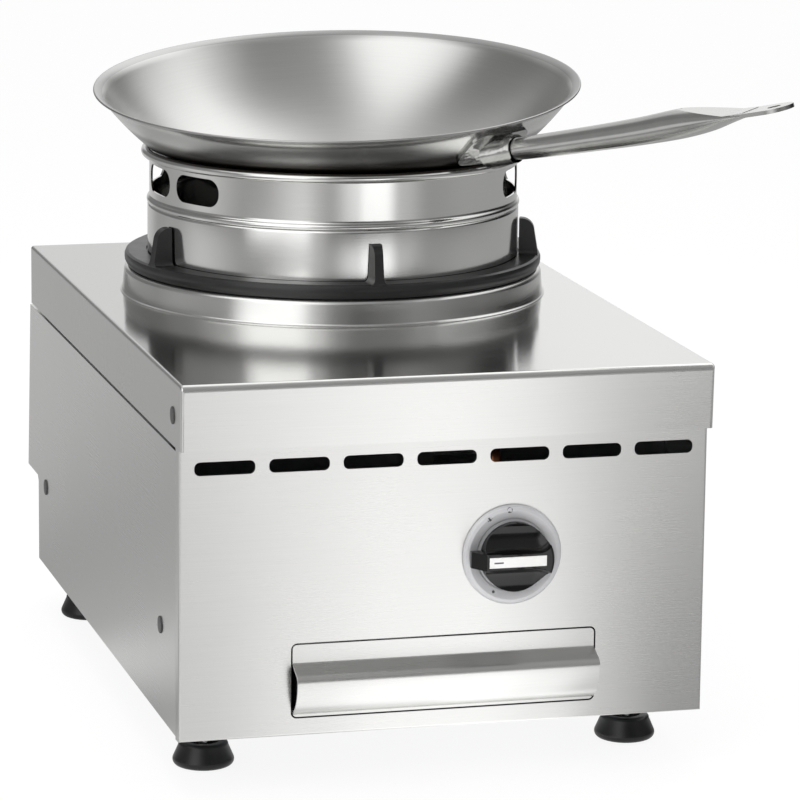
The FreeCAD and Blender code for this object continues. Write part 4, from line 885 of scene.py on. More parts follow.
wall_outline = [(139.3, 336.4), (146.5, 336.4), (147.3, 337.2), (147.3, 374.0), (147.2, 374.7)]
wall_outline += [(146.8, 375.4)] + arc(144.5, 378.4, 3.4, -52, 54, 10)
wall_outline += [(146.1, 381.8), (145.85, 382.6), (145.8, 383.6), (145.8, 416.7), (144.3, 416.7)]
wall_outline += [(144.3, 381.4), (144.6, 375.4), (145.8, 373.4), (145.8, 337.9), (139.3, 337.9)]


def ring_slot(angle):
    """A bar that cuts one slot, turned about the burner from the front."""
    width, height = RING_SLOT
    near, far = RING_SLOT_REACH
    bm = box_mesh(-width / 2, width / 2, BURNER_Y - far, BURNER_Y - near,
                  RING_SLOT_Z - height / 2, RING_SLOT_Z + height / 2)
    round_edges(bm, edges_along(bm, 1), RING_SLOT_CORNER, 8)
    turn = Matrix.Rotation(math.radians(angle), 4, "Z")
    bm.transform(Matrix.Translation(BURNER) @ turn @ Matrix.Translation(-BURNER))
    return finished("slot_tool", bm)


slot_tools = []
for k in range(RING_PAIRS):
    pair = 180 + (k - (RING_PAIRS - 1) / 2) * RING_PAIR_STEP
    for step in (-RING_SLOT_HALF_STEP, RING_SLOT_HALF_STEP):
        slot_tools.append(ring_slot(pair + step))
wall = combined(spun("wok_ring_wall", wall_outline, steps=240), slot_tools)
wall.data.set_sharp_from_angle(angle=math.radians(35))
dress(wall, "wok_ring", "polished_steel", ["wok_ring"], bright_ring)
roll = spun("wok_ring_roll", arc(*RIM_ROLL, 0, 345, 23), steps=240)
dress(roll, "wok_ring", "polished_steel", ["wok_ring"], bright_ring)
print("wok ring", len(wall.data.polygons), "faces")

# %% [markdown]
# ## Wok
# A ball-shaped dish of 1.8 mm sheet with a short flatter lip. It seats in the round ring at any
# tilt about the ball's centre, and in the photograph it leans to the cook and a little to the left.
# Its outline is measured from the ball's centre.

# %% Wok
WOK_RIM_R = 193.8
WOK_LIP = 6.5
WOK_LIP_SLOPE = 28.0
INNER_BEND = 1.0


def wok_outline():
    """The dish and its lip: up the outside, round the lip's edge and down the inside."""
    inner_r = WOK_SPHERE_R - WOK_SHEET
    start = WOK_RIM_R - WOK_LIP
    outside = math.degrees(math.asin(start / WOK_SPHERE_R))
    inside = math.degrees(math.asin((start - INNER_BEND) / inner_r))
    outline = arc(0, 0, WOK_SPHERE_R, -90, -90 + outside, 40)
    slope = math.radians(WOK_LIP_SLOPE)
    half = WOK_SHEET / 2
    reach = WOK_LIP - half
    edge_r = start + reach - half * math.sin(slope)
    edge_z = outline[-1][1] + reach * math.tan(slope) + half * math.cos(slope)
    outline += arc(edge_r, edge_z, half, WOK_LIP_SLOPE - 90, WOK_LIP_SLOPE + 90, 6)
    outline += arc(0, 0, inner_r, -90 + inside, -90, 40)
    return outline


wok = spun("wok_dish", wok_outline(), WOK_CENTRE, 240, WOK_LEAN, 40)
dress(wok, "wok", "wok_steel", ["wok_bowl"], wok_bright, wok_satin, wok_lip)
LIP_R = (WOK_RIM_R - WOK_LIP - INNER_BEND) * MM
for face in wok.data.polygons:
    spoke = face.center - WOK_CENTRE
    height = spoke.dot(WOK_AXIS)
    radius = (spoke - WOK_AXIS * height).length
    inwards = face.normal.dot(spoke) < 0
    if radius > LIP_R:
        face.material_index = 2
    elif inwards:
        face.material_index = 1
print("wok", len(wok.data.polygons), "faces")

# %% [markdown]
# ## Handle
# A tube of changing oval section, pressed flat from above at its end, where a tab with a hanging
# hole goes on. It is drawn along X from the burner's axis as (distance, height, width, thickness),
# rolled 7 degrees about its own line, and turned to the front right. Between the given sections the
# oval follows a smooth curve.

# %% Handle
HANDLE_TURN = -56.0
HANDLE_ROLL = 7.0
HANDLE_SECTIONS = (
    (175.0, 435.0, 19.0, 17.0),
    (210.8, 442.1, 18.5, 18.0),
    (265.0, 453.9, 20.0, 19.5),
    (306.5, 463.3, 22.0, 21.0),
    (344.6, 473.0, 25.0, 22.5),
    (372.0, 479.8, 28.5, 19.0),
    (391.1, 484.2, 30.0, 11.5),
    (408.0, 487.9, 29.6, 4.6),
)
HANDLE_FLAT = ((345.5, 484.6), (392.0, 486.2), (412.0, 490.6))
HANDLE_TAB = ((400.0, 486.1), (429.2, 492.6))
TAB_HALF = 14.5
TAB_SHEET = 3.0
HANDLE_HOLE_R = 5.0
HANDLE_HOLE_REACH = 9.0
PRESS_WIDTH = 60.0
PRESS_TOP_Z = 520.0
OVAL_SIDES = 48
RINGS_BETWEEN = 6

handle_start = Vector((HANDLE_SECTIONS[0][0], 0, HANDLE_SECTIONS[0][1])) * MM
handle_end = Vector((HANDLE_TAB[1][0], 0, HANDLE_TAB[1][1])) * MM
handle_way = (handle_end - handle_start).normalized()
handle_lift = Vector((-handle_way.z, 0, handle_way.x))
HANDLE_FRAME = (
    Matrix.Translation(BURNER)
    @ Matrix.Rotation(math.radians(HANDLE_TURN), 4, "Z")
    @ Matrix.Translation(handle_start)
    @ Matrix.Rotation(math.radians(HANDLE_ROLL), 4, handle_way)
    @ Matrix.Translation(-handle_start)
)


def between(sections, steps):
    """Sections with more of them in between, on a smooth curve through all of them."""
    rows = [sections[0]] + list(sections) + [sections[-1]]
    smooth = [sections[0]]
    for before, first, last, after in zip(rows, rows[1:], rows[2:], rows[3:]):
        for step in range(1, steps + 1):
            t = step / steps
            smooth.append(tuple(
                b + 0.5 * t * (c - a + t * (2 * a - 5 * b + 4 * c - d + t * (3 * (b - c) + d - a)))
                for a, b, c, d in zip(before, first, last, after)
            ))
    return smooth


def handle_tube():
    """The oval sections, bridged one to the next and closed at both ends."""
    bm = bmesh.new()
    loops = []
    for rho, z, width, thickness in between(HANDLE_SECTIONS, RINGS_BETWEEN):
        axes = Matrix((Vector((0, 1, 0)) * width, handle_lift * thickness, handle_way)).transposed()
        frame_here = Matrix.LocRotScale(Vector((rho, 0, z)) * MM, None, None) @ axes.to_4x4()
        circle = bmesh.ops.create_circle(bm, segments=OVAL_SIDES, radius=0.5 * MM, matrix=frame_here)
        ring = circle["verts"]
        loops.append(list({edge for vert in ring for edge in vert.link_edges}))
    for first, second in zip(loops, loops[1:]):
        bmesh.ops.bridge_loops(bm, edges=first + second)
    bmesh.ops.holes_fill(bm, edges=bm.edges, sides=0)
    bmesh.ops.recalc_face_normals(bm, faces=bm.faces)
    return finished("wok_handle_tube", bm, 40)


def prism(name, points, width):
    """A closed (x, z) outline in mm, made a solid of a width along Y about its middle."""
    near = [(x * MM, -width / 2 * MM, z * MM) for x, z in points]
    return slab(name, near, (0, width * MM, 0))


def handle_tab():
    """The flat tab: a rounded slab in its own plane, with the hole in it."""
    start, end = (Vector((x, 0, z)) * MM for x, z in HANDLE_TAB)
    length = (end - start).length
    outline = [(0, -TAB_HALF)] + arc(length / MM, 0, TAB_HALF, -90, 90, 24) + [(0, TAB_HALF)]
    tab = prism("handle_tab", outline, TAB_SHEET)
    stand = Matrix.Rotation(math.radians(90), 4, "X")
    slope = Matrix.Rotation(-math.atan2(end.z - start.z, end.x - start.x), 4, "Y")
    tab.data.transform(Matrix.Translation(start) @ slope @ stand)
    hole = rod_tool(HANDLE_HOLE_R, -HANDLE_HOLE_REACH, HANDLE_HOLE_REACH)
    hole.data.transform(Matrix.Translation(end) @ slope)
    return combined(tab, [hole])


pressed = list(HANDLE_FLAT) + [(HANDLE_FLAT[-1][0], PRESS_TOP_Z), (HANDLE_FLAT[0][0], PRESS_TOP_Z)]
handle = combined(handle_tube(), [prism("press_tool", pressed, PRESS_WIDTH)])
combined(handle, [handle_tab()], "UNION")
softened(handle, 0.5, angle=32, segments=3)
handle.data.transform(HANDLE_FRAME)
handle_steel = metal("stainless_handle_polished", ("#d2d2d0", "#dcdcda"), (0.16, 0.22), 12.0, 0.003)
dress(handle, "wok", "polished_steel", ["wok_handle"], handle_steel)
bracket = polished_copy("handle_bracket_pressed", "handle_bracket", 30, 0.5)
bracket_steel = metal("stainless_bracket_hammered", ("#9a9a98", "#bcbcba"), (0.14, 0.22), 8.0, 0.45)
dress(bracket, "wok", "polished_steel", ["handle_bracket"], bracket_steel)
print("handle", len(handle.data.polygons), "faces, bracket", len(bracket.data.polygons))

# %% [markdown]
# ## Knob
# A round knob whose two flanks are scooped out, so that a grip ridge is left between them. The
# ridge goes on past the rim as a pointer, and a pale bar is let into its crown. Spun pieces of this
# cell turn about a line along Y, so their heights count towards the cook.

# %% Knob
TO_COOK = Matrix.Rotation(math.radians(90), 4, "X")
TO_RIGHT = Matrix.Rotation(math.radians(90), 4, "Y")
AWAY = Matrix.Rotation(math.radians(-90), 4, "X")
KNOB_R = 25.7
KNOB_HUB = (7.5, -15.0)
KNOB_BACK = -6.3
KNOB_CROWN = 13.2
KNOB_RIM = 2.0
SCOOP_R = 14.0
SCOOP_OFFSET = 19.5
SCOOP_Y = -12.2
SCOOP_LENGTH = 70.0
SCOOP_END_X = 63.0
POINTER = ((35, 3.4), (16, 3.4), (16, 0.0), (24.4, -12.9), (35, -12.9))
POINTER_HALF = 6.1
INSERT_X = (26.0, 69.5)
INSERT_HALF = 3.9
INSERT_Y = (-13.7, -12.0)
INSERT_GAP = 0.1
RECESS_FRONT_Y = -16.0
DASH_X = (29.5, 36.5)
DASH_Y = (-13.75, -13.4)
DASH_HALF = 0.55

knob_middle = place(KNOB_X, 0, KNOB_Z)


def knob_body():
    """The moulding: turned, scooped on both flanks, joined to its pointer, with the bar's recess."""
    hub_r, hub_end = KNOB_HUB
    outline = [(0, hub_end), (hub_r, hub_end), (hub_r, KNOB_BACK), (KNOB_R, KNOB_BACK)]
    outline += arc(KNOB_R - KNOB_RIM, KNOB_CROWN - KNOB_RIM, KNOB_RIM, 0, 90, 8) + [(0, KNOB_CROWN)]
    body = spun("knob_moulding", outline, knob_middle, 120, TO_COOK)
    scoop = [(0, -SCOOP_LENGTH), (SCOOP_R, -SCOOP_LENGTH)] + arc(0, 0, SCOOP_R, 0, 90, 16)
    tools = []
    for side in (-1, 1):
        end = place(SCOOP_END_X, SCOOP_Y, KNOB_Z + side * SCOOP_OFFSET)
        tools.append(spun("scoop_tool", scoop, end, 72, TO_RIGHT))
    combined(body, tools)
    low_corners = [place(x, y, KNOB_Z - POINTER_HALF) for x, y in POINTER]
    combined(body, [slab("pointer_tool", low_corners, (0, 0, 2 * POINTER_HALF * MM))], "UNION")
    half = INSERT_HALF + INSERT_GAP
    recess = box_mesh(*INSERT_X, RECESS_FRONT_Y, INSERT_Y[1], KNOB_Z - half, KNOB_Z + half)
    combined(body, [finished("recess_tool", recess)])
    return softened(body, 0.45, angle=28, segments=3)


def knob_bar():
    """The pale bar, a little shorter and narrower than its recess, its front edges rounded."""
    x0, x1 = INSERT_X
    bm = box_mesh(x0 + INSERT_GAP, x1 - INSERT_GAP, *INSERT_Y,
                  KNOB_Z - INSERT_HALF, KNOB_Z + INSERT_HALF)
    middle_y = place(0, sum(INSERT_Y) / 2, 0).y
    front_edges = [e for e in bm.edges if all(v.co.y < middle_y for v in e.verts)]
    round_edges(bm, front_edges, 0.5, 3)
    return finished("knob_insert_bar", bm)


dress(knob_body(), "knob", "knob_black", ["knob"], knob_black)
dress(knob_bar(), "knob", "knob_pale", ["knob_insert"], knob_pale)
dash = finished("knob_insert_dash", box_mesh(*DASH_X, *DASH_Y, KNOB_Z - DASH_HALF, KNOB_Z + DASH_HALF))
dress(dash, "knob", "knob_black", [], mark_grey)
print("knob, bar and dash")

# %% [markdown]
# ## Dial
# A dished ring on the panel, lacquered a satin silver. Its printed marks are thin pieces that are
# laid on its slope: a dot for the pilot flame, a spark for the ignition, a small dot for off.

# %% Dial
MARK_PROUD = 0.06
MARK_THICKNESS = 0.12
MARK_START_Y = 5.0

dial_outline = [(13, -11.85), (37.5, -11.85), (37.5, -10.25), (35.9, -8.25)]
dial_outline += [(33.5, -7.65), (27.5, -9.45), (26.6, -10.45), (13, -10.45)]
dial = spun("dial_ring", dial_outline, knob_middle, 120, TO_COOK, 50)
softened(dial, 0.35, angle=25, segments=3)
dress(dial, "casing", "dial_grey", ["dial"], dial_silver)


def laid_on_dial(name, bm):
    """Lays a flat mark on the dial as a thin skin, half of which stands above the lacquer."""
    mark = finished(name, bm)
    lay = mark.modifiers.new("lay", "SHRINKWRAP")
    lay.target = dial
    lay.wrap_method = "PROJECT"
    lay.use_project_x = False
    lay.use_project_y = True
    lay.use_project_z = False
    lay.use_negative_direction = True
    lay.use_positive_direction = True
    lay.wrap_mode = "ABOVE_SURFACE"
    lay.offset = MARK_PROUD * MM
    settle(mark)
    return dress(thickened(mark, MARK_THICKNESS), "casing", "dial_grey", [], mark_grey)


def dot(name, x, z, radius):
    """A round mark."""
    bm = bmesh.new()
    stand = Matrix.Translation(place(x, MARK_START_Y, z)) @ TO_COOK
    bmesh.ops.create_circle(bm, cap_ends=True, segments=20, radius=radius * MM, matrix=stand)
    return laid_on_dial(name, bm)


def spark(name, x, z, size):
    """A spark: a bar with a short stroke across, both leaning."""
    bm = bmesh.new()
    stand = Matrix.Translation(place(x, MARK_START_Y, z)) @ TO_COOK
    for degrees, length, width in ((42, 1.0, 0.34), (-48, 0.72, 0.3)):
        shape = Matrix.Diagonal((length * size * MM, width * size * MM, 1, 1))
        turn = Matrix.Rotation(math.radians(degrees), 4, "Z")
        bmesh.ops.create_grid(bm, x_segments=6, y_segments=1, size=1, matrix=stand @ turn @ shape)
    return laid_on_dial(name, bm)


dot("dial_mark_pilot", 47.0, 201.3, 2.1)
dot("dial_mark_off", 35.4, 140.4, 1.1)
spark("dial_mark_spark", 31.8, 195.1, 2.2)
print("dial and three marks")

# %% [markdown]
# ## Drip tray
# The tray's front is one folded sheet: a flat strip, a slanted grip, a rounded nose and a long
# curve back to the panel. It is open at both ends. The profile's arcs meet tangentially. Two
# strips behind it tie it to the pan.

# %% Tray front
TRAY_SHEET = 1.5
NOSE_CENTRE = (1.7, 82.5)
NOSE_R = 6.5
BELLY_CENTRE = (25.46, 82.5)
BELLY_R = 30.26
TRAY_CORNER = 3.5
TRAY_REACH = 60.0
TIE_HALF = 99.0
TIE_Y = (13.5, 15.1)
TIE_Z = {"low": (54.6, 69.6), "high": (93.9, 98.0)}


def tray_skin():
    """The front's profile of (depth, height), drawn out across the tray and cut to its corners."""
    low, high = TRAY_Z
    profile = [(PANEL_Y, high), (PANEL_Y, 94.6), (11.6, 93.5)]
    profile += arc(*NOSE_CENTRE, NOSE_R, 112, 180, 12)
    profile += arc(*BELLY_CENTRE, BELLY_R, 180, 243.6, 24)[1:]
    profile += [(PANEL_Y, low)]
    bm = bmesh.new()
    row = [bm.verts.new(place(-TRAY_HALF, y, z)) for y, z in profile]
    edges = [bm.edges.new(pair) for pair in zip(row, row[1:])]
    move_new(bm, bmesh.ops.extrude_edge_only(bm, edges=edges), (2 * TRAY_HALF * MM, 0, 0))
    middle = min(bm.faces, key=lambda face: face.calc_center_median().y)
    if middle.normal.y > 0:
        bmesh.ops.reverse_faces(bm, faces=bm.faces)
    sheet = thickened(finished("tray_front_sheet", bm, 30), TRAY_SHEET)
    corners = slot_tool((0, 0, (low + high) / 2), 2 * TRAY_HALF, high - low, TRAY_CORNER, TRAY_REACH)
    combined(sheet, [corners], "INTERSECT")
    return softened(sheet, 0.25, angle=40)


dress(tray_skin(), "drip_tray", "casing_steel", ["tray_front"], sheet_x)
for part, heights in TIE_Z.items():
    strip = finished(f"tray_tie_{part}", box_mesh(-TIE_HALF, TIE_HALF, *TIE_Y, *heights))
    dress(strip, "drip_tray", "casing_steel", ["tray_front"], sheet_x)
print("tray front")

# %% [markdown]
# ## The tray's pan
# A deep-drawn pan of 1.2 mm sheet, open at the top, with round corners and a round floor edge. Four
# domed rivets join it to its front.

# %% Pan
PAN_HALF = 111.0
PAN_Y = (15.1, 515.1)
PAN_Z = (58.0, 98.0)
PAN_SHEET = 1.2
PAN_CORNER = 10.0
PAN_FLOOR_R = 6.0
RIVET_X = (-90.0, -32.0, 32.0, 90.0)
RIVET_Y = 16.3
RIVET_Z = 68.5
RIVET_R = 3.2
RIVET_EDGE = 0.4
RIVET_HEIGHT = 1.4


def pan():
    """A box without its top, its upright and lower edges rounded, made of sheet."""
    bm = box_mesh(-PAN_HALF, PAN_HALF, *PAN_Y, *PAN_Z)
    top = max(bm.faces, key=lambda face: face.calc_center_median().z)
    bmesh.ops.delete(bm, geom=[top], context="FACES")
    round_edges(bm, edges_along(bm, 2), PAN_CORNER, 8)
    low = [e for e in bm.edges if all(v.co.z < (PAN_Z[0] + 1) * MM for v in e.verts)]
    round_edges(bm, low, PAN_FLOOR_R, 6)
    return softened(thickened(finished("drip_tray_pan", bm), PAN_SHEET), 0.25)


def rivet(number, x):
    """A rivet's head: a short straight edge, then a round one, cut flat on top."""
    half = RIVET_R / 2
    outline = [(0, 0), (RIVET_R, 0), (RIVET_R, RIVET_EDGE)] + arc(half, RIVET_EDGE, half, 0, 90, 5)[1:]
    outline = [(r, min(height, RIVET_HEIGHT)) for r, height in outline] + [(0, RIVET_HEIGHT)]
    return spun(f"tray_rivet_{number}", outline, place(x, RIVET_Y, RIVET_Z), 24, AWAY)


dress(pan(), "drip_tray", "tray_steel", ["drip_tray"], drawn_tray)
for number, x in enumerate(RIVET_X, 1):
    dress(rivet(number, x), "drip_tray", "bright_steel", ["tray_rivets"], bright)
print("pan and four rivets")

# %% [markdown]
# ## Levelling feet
# A moulded pad with a rounded foot edge and a recess, and in it a hexagon on a threaded stud. The
# thread is a real one: one pitch of its zigzag profile, given as shares of the pitch and of the
# depth, is spun on and on with a rise. Each pad and its stud move as one.

# %% Feet
FOOT_X = 164.3
FOOT_Y = (86.8, 534.7)
STUD_R = 4.95
STUD_ROOT_R = 4.2
STUD_PITCH = 1.5
STUD_Z = (14.1, 65.2)
THREAD = ((0.0, 0), (0.15, 0), (0.45, 1), (0.6, 1), (0.9, 0), (1.0, 0))
HEX_FLATS = 14.0
HEX_HEIGHT = 6.0
CONE_START = 0.96
CONE_END = 1.02
CONE_DROP = 0.104

foot_outline = [(0, 0), (18.8, 0)] + arc(18.6, 4.6, 4.4, -70, 20, 10)
foot_outline += [(18.6, 15.6)] + arc(15.4, 15.2, 3.4, 20, 90, 8)
foot_outline += [(12.0, 18.6), (10.5, 14.0), (0, 14.0)]


def threaded(name, root, crest, pitch, start, end, centre, turn=Matrix(), bore=0.0, steps=24):
    """A rod with a real thread from one height to another, flat at both ends."""
    bm = bmesh.new()
    low = start - 2 * pitch
    row = []
    for rise, depth in THREAD:
        radius = root + depth * (crest - root)
        row.append(bm.verts.new((radius * MM, 0, (low + rise * pitch) * MM)))
    edges = [bm.edges.new(pair) for pair in zip(row, row[1:])]
    turns = math.ceil((end - low) / pitch) + 2
    bmesh.ops.spin(bm, geom=row + edges, cent=ORIGIN, axis=UP, angle=2 * math.pi * turns,
                   steps=steps * turns, dvec=(0, 0, pitch * MM / steps))
    bmesh.ops.remove_doubles(bm, verts=bm.verts, dist=SAME_PLACE)
    for height, side in ((start, -1), (end, 1)):
        bmesh.ops.bisect_plane(bm, geom=bm.verts[:] + bm.edges[:] + bm.faces[:], clear_outer=True,
                               plane_co=(0, 0, height * MM), plane_no=(0, 0, side))
    rims = [edge for edge in bm.edges if edge.is_boundary]
    bmesh.ops.holes_fill(bm, edges=rims, sides=0)
    bmesh.ops.recalc_face_normals(bm, faces=bm.faces)
    obj = finished(name, bm, 30)
    if bore:
        combined(obj, [rod_tool(bore, start - 1, end + 1)])
    obj.data.transform(Matrix.Translation(centre) @ turn)
    return obj


def hexagon(name, flats, z0, z1, centre):
    """A hexagon nut or head, whose corners are turned off by a cone as on a real one."""
    bm = bmesh.new()
    corner = flats / math.sqrt(3)
    middle = Matrix.Translation((0, 0, (z0 + z1) / 2 * MM))
    bmesh.ops.create_cone(bm, cap_ends=True, segments=6, radius1=corner * MM, radius2=corner * MM,
                          depth=(z1 - z0) * MM, matrix=middle)
    nut = finished(name, bm)
    inner, outer = CONE_START * flats / 2, CONE_END * corner
    drop = CONE_DROP * flats
    cone = [(0, z0), (inner, z0), (outer, z0 + drop), (outer, z1 - drop), (inner, z1), (0, z1)]
    combined(nut, [spun("chamfer_tool", cone, ORIGIN, 48)], "INTERSECT")
    softened(nut, 0.2, angle=35)
    nut.data.transform(Matrix.Translation(centre))
    return nut


foot_places = [(x, y) for y in FOOT_Y for x in (-FOOT_X, FOOT_X)]
for number, (x, y) in enumerate(foot_places, 1):
    body = f"foot_{number}"
    centre = place(x, y, 0)
    pad = spun(f"{body}_rubber", foot_outline, centre, 96)
    dress(pad, body, "foot_black", [f"foot_pad_{number}"], foot_black)
    thread = threaded(f"{body}_thread", STUD_ROOT_R, STUD_R, STUD_PITCH, *STUD_Z, centre)
    head = hexagon(f"{body}_hexagon", HEX_FLATS, STUD_Z[0], STUD_Z[0] + HEX_HEIGHT, centre)
    for part in (thread, head):
        dress(part, body, "bright_steel", [f"foot_stud_{number}"], bright)
print("four feet")

# %% [markdown]
# ## Gas inlet
# A brass stub comes out of the lower rear panel: a hexagon against the sheet, then a pipe thread of
# about 21 mm with its open bore.

# %% Gas inlet
INLET_X = 150.0
INLET_Z = 78.0
INLET_HEX = (573.8, 581.5)
INLET_THREAD = (581.5, 598.5)
INLET_R = 10.48
INLET_ROOT_R = 9.35
INLET_PITCH = 1.81
INLET_BORE = 7.5
INLET_BORE_Z = (560.0, 610.0)
INLET_TAIL = (551.5, 573.8)
INLET_TAIL_R = 12.5
INLET_FLATS = 30.0

inlet_place = place(INLET_X, 0, INLET_Z)
inlet_thread = threaded("inlet_thread", INLET_ROOT_R, INLET_R, INLET_PITCH, *INLET_THREAD,
                        inlet_place, AWAY, INLET_BORE, 40)
inlet_hex = combined(hexagon("inlet_hexagon", INLET_FLATS, *INLET_HEX, ORIGIN),
                     [rod_tool(INLET_BORE, *INLET_BORE_Z)])
inlet_hex.data.transform(Matrix.Translation(inlet_place) @ AWAY)
low, high = INLET_TAIL
tail_outline = [(INLET_BORE, low), (INLET_TAIL_R, low), (INLET_TAIL_R, high), (INLET_BORE, high)]
inlet_tail = spun("inlet_tail", tail_outline, inlet_place, 48, AWAY)
for part in (inlet_thread, inlet_hex, inlet_tail):
    dress(part, "casing", "brass", ["gas_inlet"], brass)
print("gas inlet")

# %% [markdown]
# ## Burner
# The cast burner sits inside the collar. Its cap and body are copied with their edges softened, so
# that they look cast when the wok is lifted off.

# %% Burner castings
for node in ("burner_cap", "burner_body"):
    dress(polished_copy(node + "_cast", node, 30, 0.3), "casing", "cast_iron", [node], iron)
print("burner cap and body")

# %% [markdown]
# ## Finishes of the solids that stay
# The parts inside the casing keep their solids. Each gets the material of its slot.

# %% Materials of the remaining solids
SLOT_MATERIALS = {
    "casing_steel": sheet_x, "spun_steel": collar_steel, "polished_steel": bright_ring,
    "wok_steel": wok_bright, "zinc_steel": zinc, "tray_steel": drawn_tray, "dark_cap": cap_dark,
    "cast_iron": iron, "brass": brass, "copper_tube": copper, "steel_tube": tube_steel,
    "bright_steel": bright, "ceramic": ceramic, "black_lead": lead_black, "black_box": box_black,
    "knob_black": knob_black, "knob_pale": knob_pale, "dial_grey": dial_silver,
    "foot_black": foot_black,
}
slot_of = {part["node"]: part["material_slot"] for part in frame["record"]["subparts"]}
kept = 0
for name, obj in nodes.items():
    finish = SLOT_MATERIALS[slot_of[name]]
    if not obj.material_slots:
        obj.data.materials.append(finish)
    for material_slot in obj.material_slots:
        material_slot.material = finish
    kept += 1
print("materials on", kept, "nodes,", len(made), "new pieces")

# %% [markdown]
# ## The studio
# Steel shows what stands round it, so the studio matters as much as the object. To the camera the
# background is plain white. What the steel sees is a room, read off the steel in the photograph:
# the collar shows the walls, the wok ring and the front panel show the floor, the wok's inside
# shows the soft box overhead and the wall behind, bright on the right and dark on the left. The
# stops below are greys around the object, as a share of a full turn: 0 and 1 are behind it, 0.25 is
# left, 0.5 is in front, 0.75 is right. The ceiling's stops run from left to right instead. Steel
# reflects about two thirds, which the strength makes up.

# %% World
WHITE = (1, 1, 1, 1)
STEEL_SHARE = 1.6
CEILING_RISE = (0.3, 0.62)
CEILING_REAR = (0.0, 0.2)
WALL_STOPS = (
    (0.0, "#a0a0a0"), (0.02, "#686868"), (0.14, "#606060"), (0.2, "#747474"), (0.3, "#7c7c7c"),
    (0.322, "#e4e4e4"), (0.335, "#ffffff"), (0.41, "#ffffff"), (0.435, "#a8a8a8"),
    (0.465, "#646464"), (0.5, "#464646"), (0.54, "#5c5c5c"), (0.59, "#747474"), (0.69, "#545454"),
    (0.78, "#202020"), (0.84, "#202020"), (0.88, "#606060"), (0.935, "#c4c4c4"), (0.95, "#cdcdcd"),
    (0.97, "#b6b6b6"), (0.985, "#b0b0b0"),
)
FRONT_CEILING_STOPS = (
    (0.0, "#606060"), (0.03, "#606060"), (0.08, "#d8d8d8"), (0.13, "#ffffff"), (0.35, "#ffffff"),
    (0.41, "#b0b0b0"), (0.5, "#888888"), (0.7, "#7c7c7c"), (0.785, "#b0b0b0"), (0.85, "#e8e8e8"),
    (1.0, "#e8e8e8"),
)
REAR_CEILING_STOPS = (
    (0.0, "#606060"), (0.25, "#686868"), (0.33, "#a0a0a0"), (0.42, "#b8b8b8"), (0.5, "#b8b8b8"),
    (0.68, "#ffffff"), (0.8, "#ffffff"), (0.88, "#d8d8d8"), (1.0, "#c8c8c8"),
)


def ramp(tree, factor, stops, smooth="EASE"):
    """A colour ramp of (position, hex) stops."""
    node = add(tree, "ShaderNodeValToRGB", {"Fac": factor})
    elements = node.color_ramp.elements
    node.color_ramp.interpolation = smooth
    elements[1].position = stops[-1][0]
    elements[1].color = colour(stops[-1][1])
    elements[0].position = stops[0][0]
    elements[0].color = colour(stops[0][1])
    for position, code in stops[1:-1]:
        elements.new(position).color = colour(code)
    return node.outputs["Color"]


def turn_share(tree, x, y):
    """The direction (x, y) as a share of a full turn: 0 behind, 0.25 left, 0.5 front, 0.75 right."""
    angle = calc(tree, "ARCTAN2", x, calc(tree, "MULTIPLY", y, -1.0))
    return ranged(tree, angle, -math.pi, math.pi)


def make_world():
    """White to the camera. To the steel: walls below, and a ceiling that differs front and rear."""
    world = bpy.data.worlds.new("studio")
    bpy.context.scene.world = world
    world.use_nodes = True
    tree = world.node_tree
    tree.nodes.clear()
    way = axes_of(tree, add(tree, "ShaderNodeTexCoord").outputs["Generated"])
    walls = ramp(tree, turn_share(tree, way["X"], way["Y"]), WALL_STOPS)
    across = ranged(tree, way["X"], -1.0, 1.0)
    front_ceiling = ramp(tree, across, FRONT_CEILING_STOPS)
    rear_ceiling = ramp(tree, across, REAR_CEILING_STOPS)
    ceiling = blend(tree, ranged(tree, way["Y"], *CEILING_REAR), front_ceiling, rear_ceiling)
    high_up = ranged(tree, way["Z"], *CEILING_RISE, smooth=True)
    seen_by_steel = blend(tree, high_up, walls, ceiling)
    room = add(tree, "ShaderNodeBackground", {"Color": seen_by_steel, "Strength": STEEL_SHARE})
    plain = add(tree, "ShaderNodeBackground", {"Color": WHITE, "Strength": 1.0})
    seen = add(tree, "ShaderNodeLightPath").outputs["Is Camera Ray"]
    mix = add(tree, "ShaderNodeMixShader", {0: seen, 1: room.outputs[0], 2: plain.outputs[0]})
    output = add(tree, "ShaderNodeOutputWorld")
    tree.links.new(mix.outputs[0], output.inputs["Surface"])


make_world()
print("world ready")

# %% [markdown]
# ## Floor
# The floor is white to the camera, and it keeps the object's soft shadow. To glossy rays it glows
# greys, a painted reflection: a band in front of the range whose shade changes from left to right,
# which the flat front panel mirrors, and further out shades that change around the object, which the
# wok ring mirrors.
# The lines of the front band run together towards a point behind the range: that is where the
# camera's mirror image stands, and it makes the band's shade the same all the way up the panel.

# %% Floor
FLOOR_SIZE = 12.0
FLOOR_DROP = 0.0005
WHITE_SHARE = 0.9
BAND_HALF = 0.26
BAND_END = (1.2, 1.45)
FLOOR_STOPS = (
    (0.0, "#a8a8a8"), (0.04, "#a0a0a0"), (0.09, "#888888"), (0.15, "#909090"), (0.22, "#b0b0b0"),
    (0.33, "#848484"), (0.41, "#b8b8b8"), (0.455, "#989898"), (0.5, "#d8d8d8"), (0.515, "#ffffff"),
    (0.55, "#ffffff"), (0.575, "#b0b0b0"), (0.63, "#888888"), (0.71, "#909090"), (0.85, "#8c8c8c"),
    (1.0, "#a8a8a8"),
)
BAND_STOPS = (
    (0.0, "#b8b8b8"), (0.15, "#c4c4c4"), (0.3, "#e0e0e0"), (0.42, "#f4f4f4"), (0.56, "#f8f8f8"),
    (0.66, "#e6e6e6"), (0.74, "#b4b4b4"), (0.84, "#8c8c8c"), (1.0, "#808080"),
)


